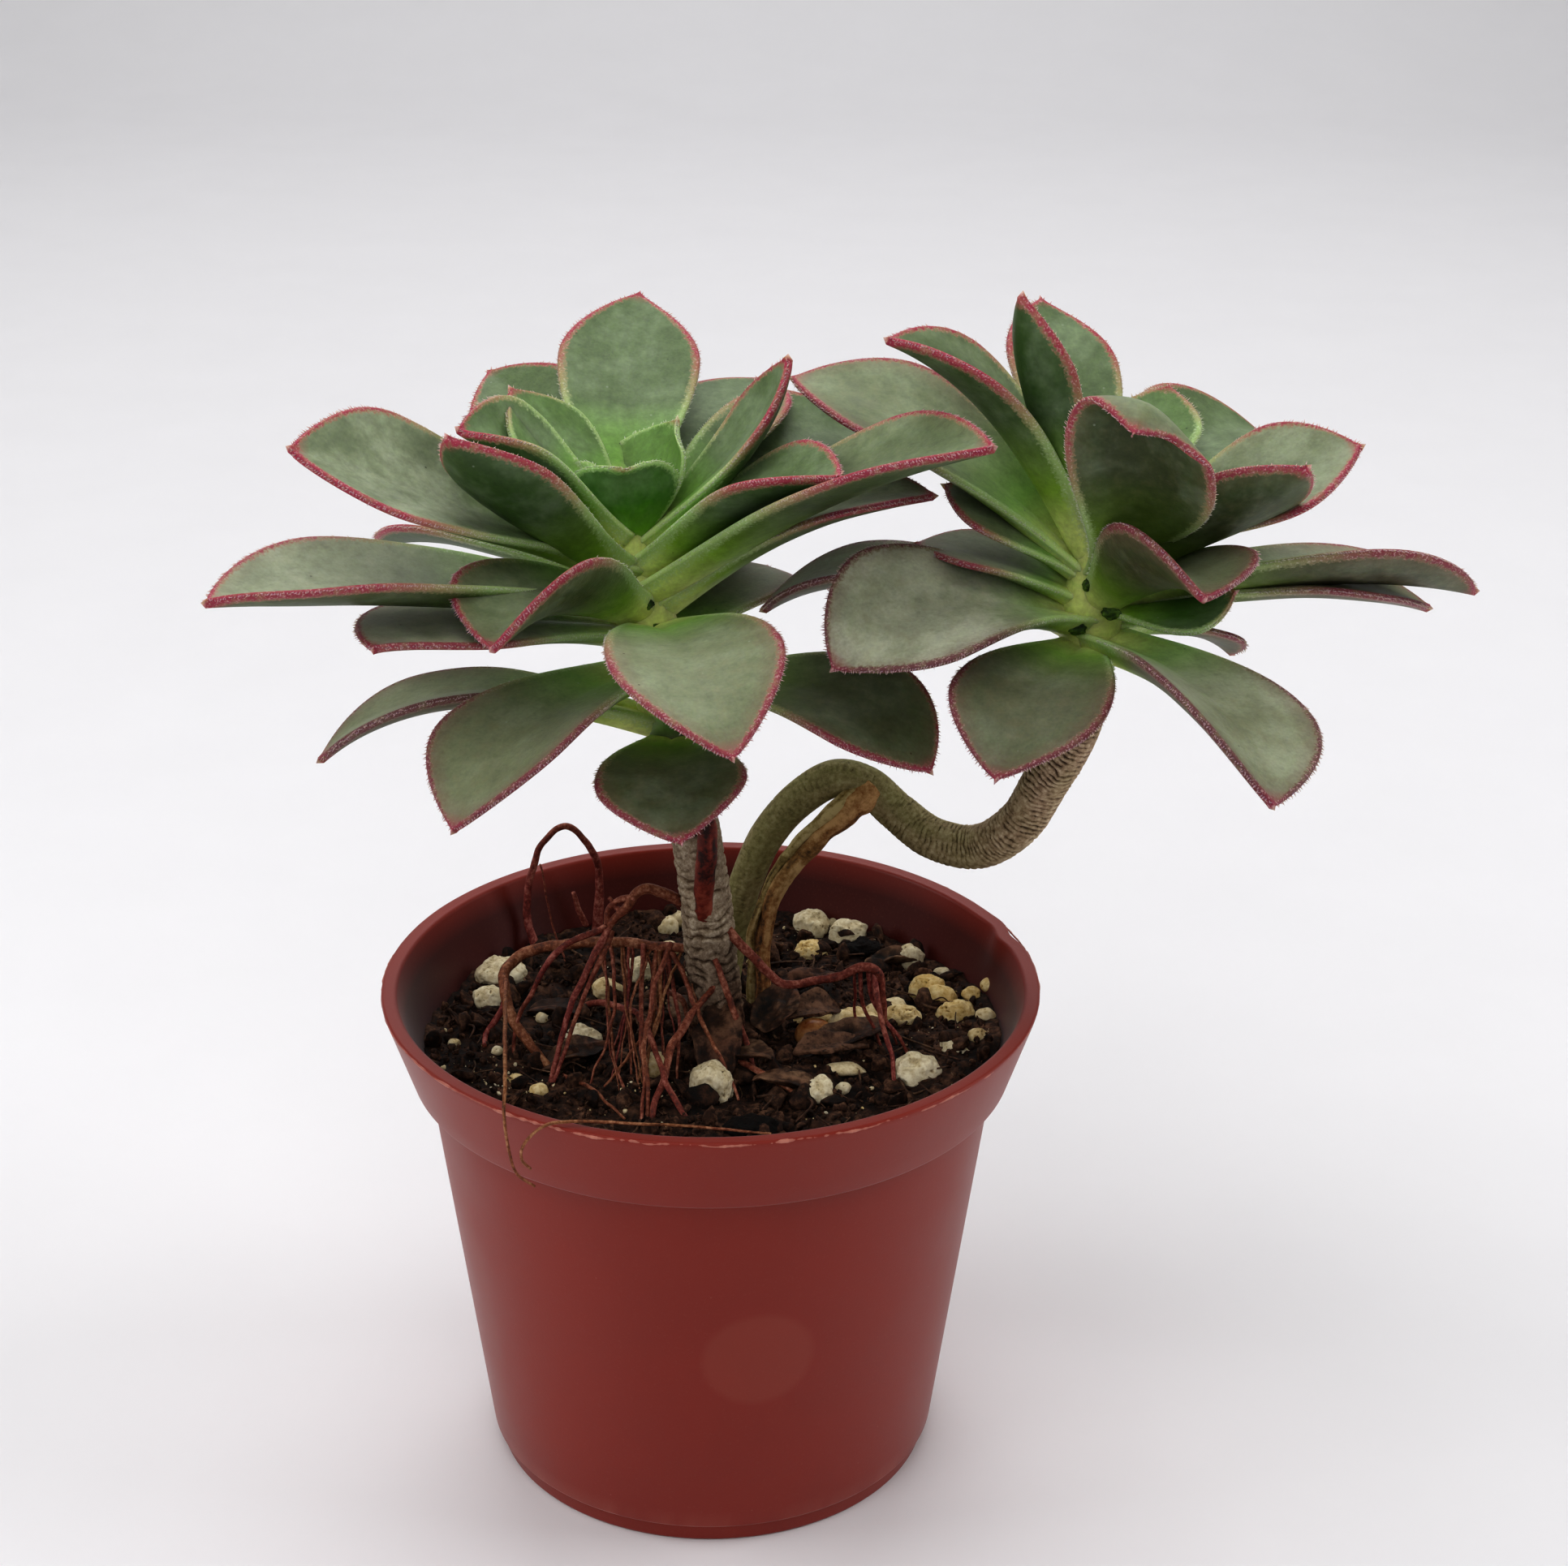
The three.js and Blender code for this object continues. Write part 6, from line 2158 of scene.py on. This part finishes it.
class Studio:
    """The camera, soft lights and pale paper round the plant."""

    CAMERA_PLACE = (9.2, -346.9, 244.4)
    LOOK_DOWN = 23.4  # degrees below the horizon
    ROLL = 0.0077  # radians, the right-hand side up
    LENS = 69.06
    SENSOR = 36.0
    CONTRAST = 0.85  # below 1, shadows and colours deepen as in the photograph
    PAPER_DEPTH = (-1.5, 0.9)  # in metres, from the front edge to where it curves up
    PAPER_BEND = 0.35
    PAPER_HEIGHT = 1.6
    PAPER_HALF_WIDTH = 2.0
    AMBIENT = 0.03  # strength of the light from all round

    def camera(self) -> None:
        """Sets the camera at the photograph's angle."""
        down = math.radians(self.LOOK_DOWN)
        forward = np.array([0, math.cos(down), -math.sin(down)])
        level_up = np.array([0, math.sin(down), math.cos(down)])
        right = math.cos(self.ROLL) * np.array([1.0, 0, 0]) + math.sin(self.ROLL) * level_up
        up = math.cos(self.ROLL) * level_up - math.sin(self.ROLL) * np.array([1.0, 0, 0])
        lens = bpy.data.cameras.new("camera")
        lens.lens, lens.sensor_width, lens.sensor_fit = self.LENS, self.SENSOR, "HORIZONTAL"
        lens.clip_start, lens.clip_end = 0.01, 10
        made = bpy.data.objects.new("camera", lens)
        matrix = Matrix.Identity(4)
        for column, axis in enumerate((right, up, -forward, np.array(self.CAMERA_PLACE) * MM)):
            for row in range(3):
                matrix[row][column] = axis[row]
        made.matrix_world = matrix
        bpy.context.scene.collection.objects.link(made)
        bpy.context.scene.camera = made

    def light(
        self, name: str, place: Point, size: float, power: float, aim: Point = (0.01, 0.0, 0.08)
    ) -> None:
        """Hangs a soft square light.

        Args:
            name: The light's name.
            place: Where it hangs, in metres.
            size: Its side, in metres.
            power: Its power, in watts.
            aim: Where it points, in metres.
        """
        lamp = bpy.data.lights.new(name, "AREA")
        lamp.shape, lamp.size, lamp.energy = "SQUARE", size, power
        made = bpy.data.objects.new(name, lamp)
        towards = unit(np.array(aim) - np.array(place))
        across = unit(np.cross(towards, [0.001, 1, 0.01]))
        matrix = Matrix.Identity(4)
        for column, axis in enumerate((across, np.cross(across, towards), -towards, np.array(place))):
            for row in range(3):
                matrix[row][column] = float(axis[row])
        made.matrix_world = matrix
        bpy.context.scene.collection.objects.link(made)

    def sweep(self) -> None:
        """Lays the paper: flat under the pot and curved up behind it."""
        front, back = self.PAPER_DEPTH
        flat = [(y, 0.0) for y in np.linspace(front, back, 5)]
        arc = np.linspace(0.1, math.pi / 2, 16)
        bend = self.PAPER_BEND
        curve = [(back + bend * math.sin(a), bend * (1 - math.cos(a))) for a in arc]
        rows = [*flat, *curve, (back + bend, self.PAPER_HEIGHT)]
        columns = np.linspace(-self.PAPER_HALF_WIDTH, self.PAPER_HALF_WIDTH, 5)
        points = np.array([[(x, y, z) for x in columns] for y, z in rows]).reshape(-1, 3)
        mesh = bpy.data.meshes.new("paper_sweep")
        mesh.from_pydata(points.tolist(), [], lattice(len(rows), len(columns), closed=False).tolist())
        mesh.shade_smooth()
        mesh.materials.append(PaperFinish().material())
        made = bpy.data.objects.new("paper_sweep", mesh)
        bpy.context.scene.collection.objects.link(made)

    def dress(self) -> None:
        """Sets up the whole studio."""
        self.camera()
        self.sweep()
        self.light("overhead_back", (0.0, 0.6, 1.0), 0.8, 5.0)
        self.light("overhead_front", (-0.12, -0.25, 0.95), 0.6, 2.8)
        self.light("from_left", (-0.8, -0.05, 0.55), 0.5, 2.6)
        self.light("from_right", (0.8, 0.0, 0.5), 0.5, 3.3)
        self.light("from_viewer", (0.0, -0.9, 0.7), 0.7, 2.7)
        self.light("from_front_left", (-0.6, -0.7, 0.6), 0.6, 1.5)
        self.light("far_floor", (0.0, 1.15, 1.1), 1.0, 3.7, (0.0, 1.2, 0.0))
        world = bpy.data.worlds.new("studio")
        world.use_nodes = True
        world.node_tree.nodes["Background"].inputs["Color"].default_value = linear("#f4f4f6")
        world.node_tree.nodes["Background"].inputs["Strength"].default_value = self.AMBIENT
        bpy.context.scene.world = world
        bpy.context.scene.view_settings.view_transform = "Standard"
        bpy.context.scene.view_settings.gamma = self.CONTRAST


# ---------------------------------------------------------------- the whole


def main() -> None:
    """Builds the pieces in order."""
    logging.basicConfig(level=logging.INFO, format="%(message)s")
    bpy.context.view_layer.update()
    Studio().dress()
    Pot().dress()
    PottingMix().dress()
    Stems().dress()
    leaf = LeafFinish().material()
    for rosette in (LEFT_ROSETTE, RIGHT_ROSETTE):
        rosette.dress(leaf)
        rosette.dress_scars()


if __name__ == "__main__":
    main()
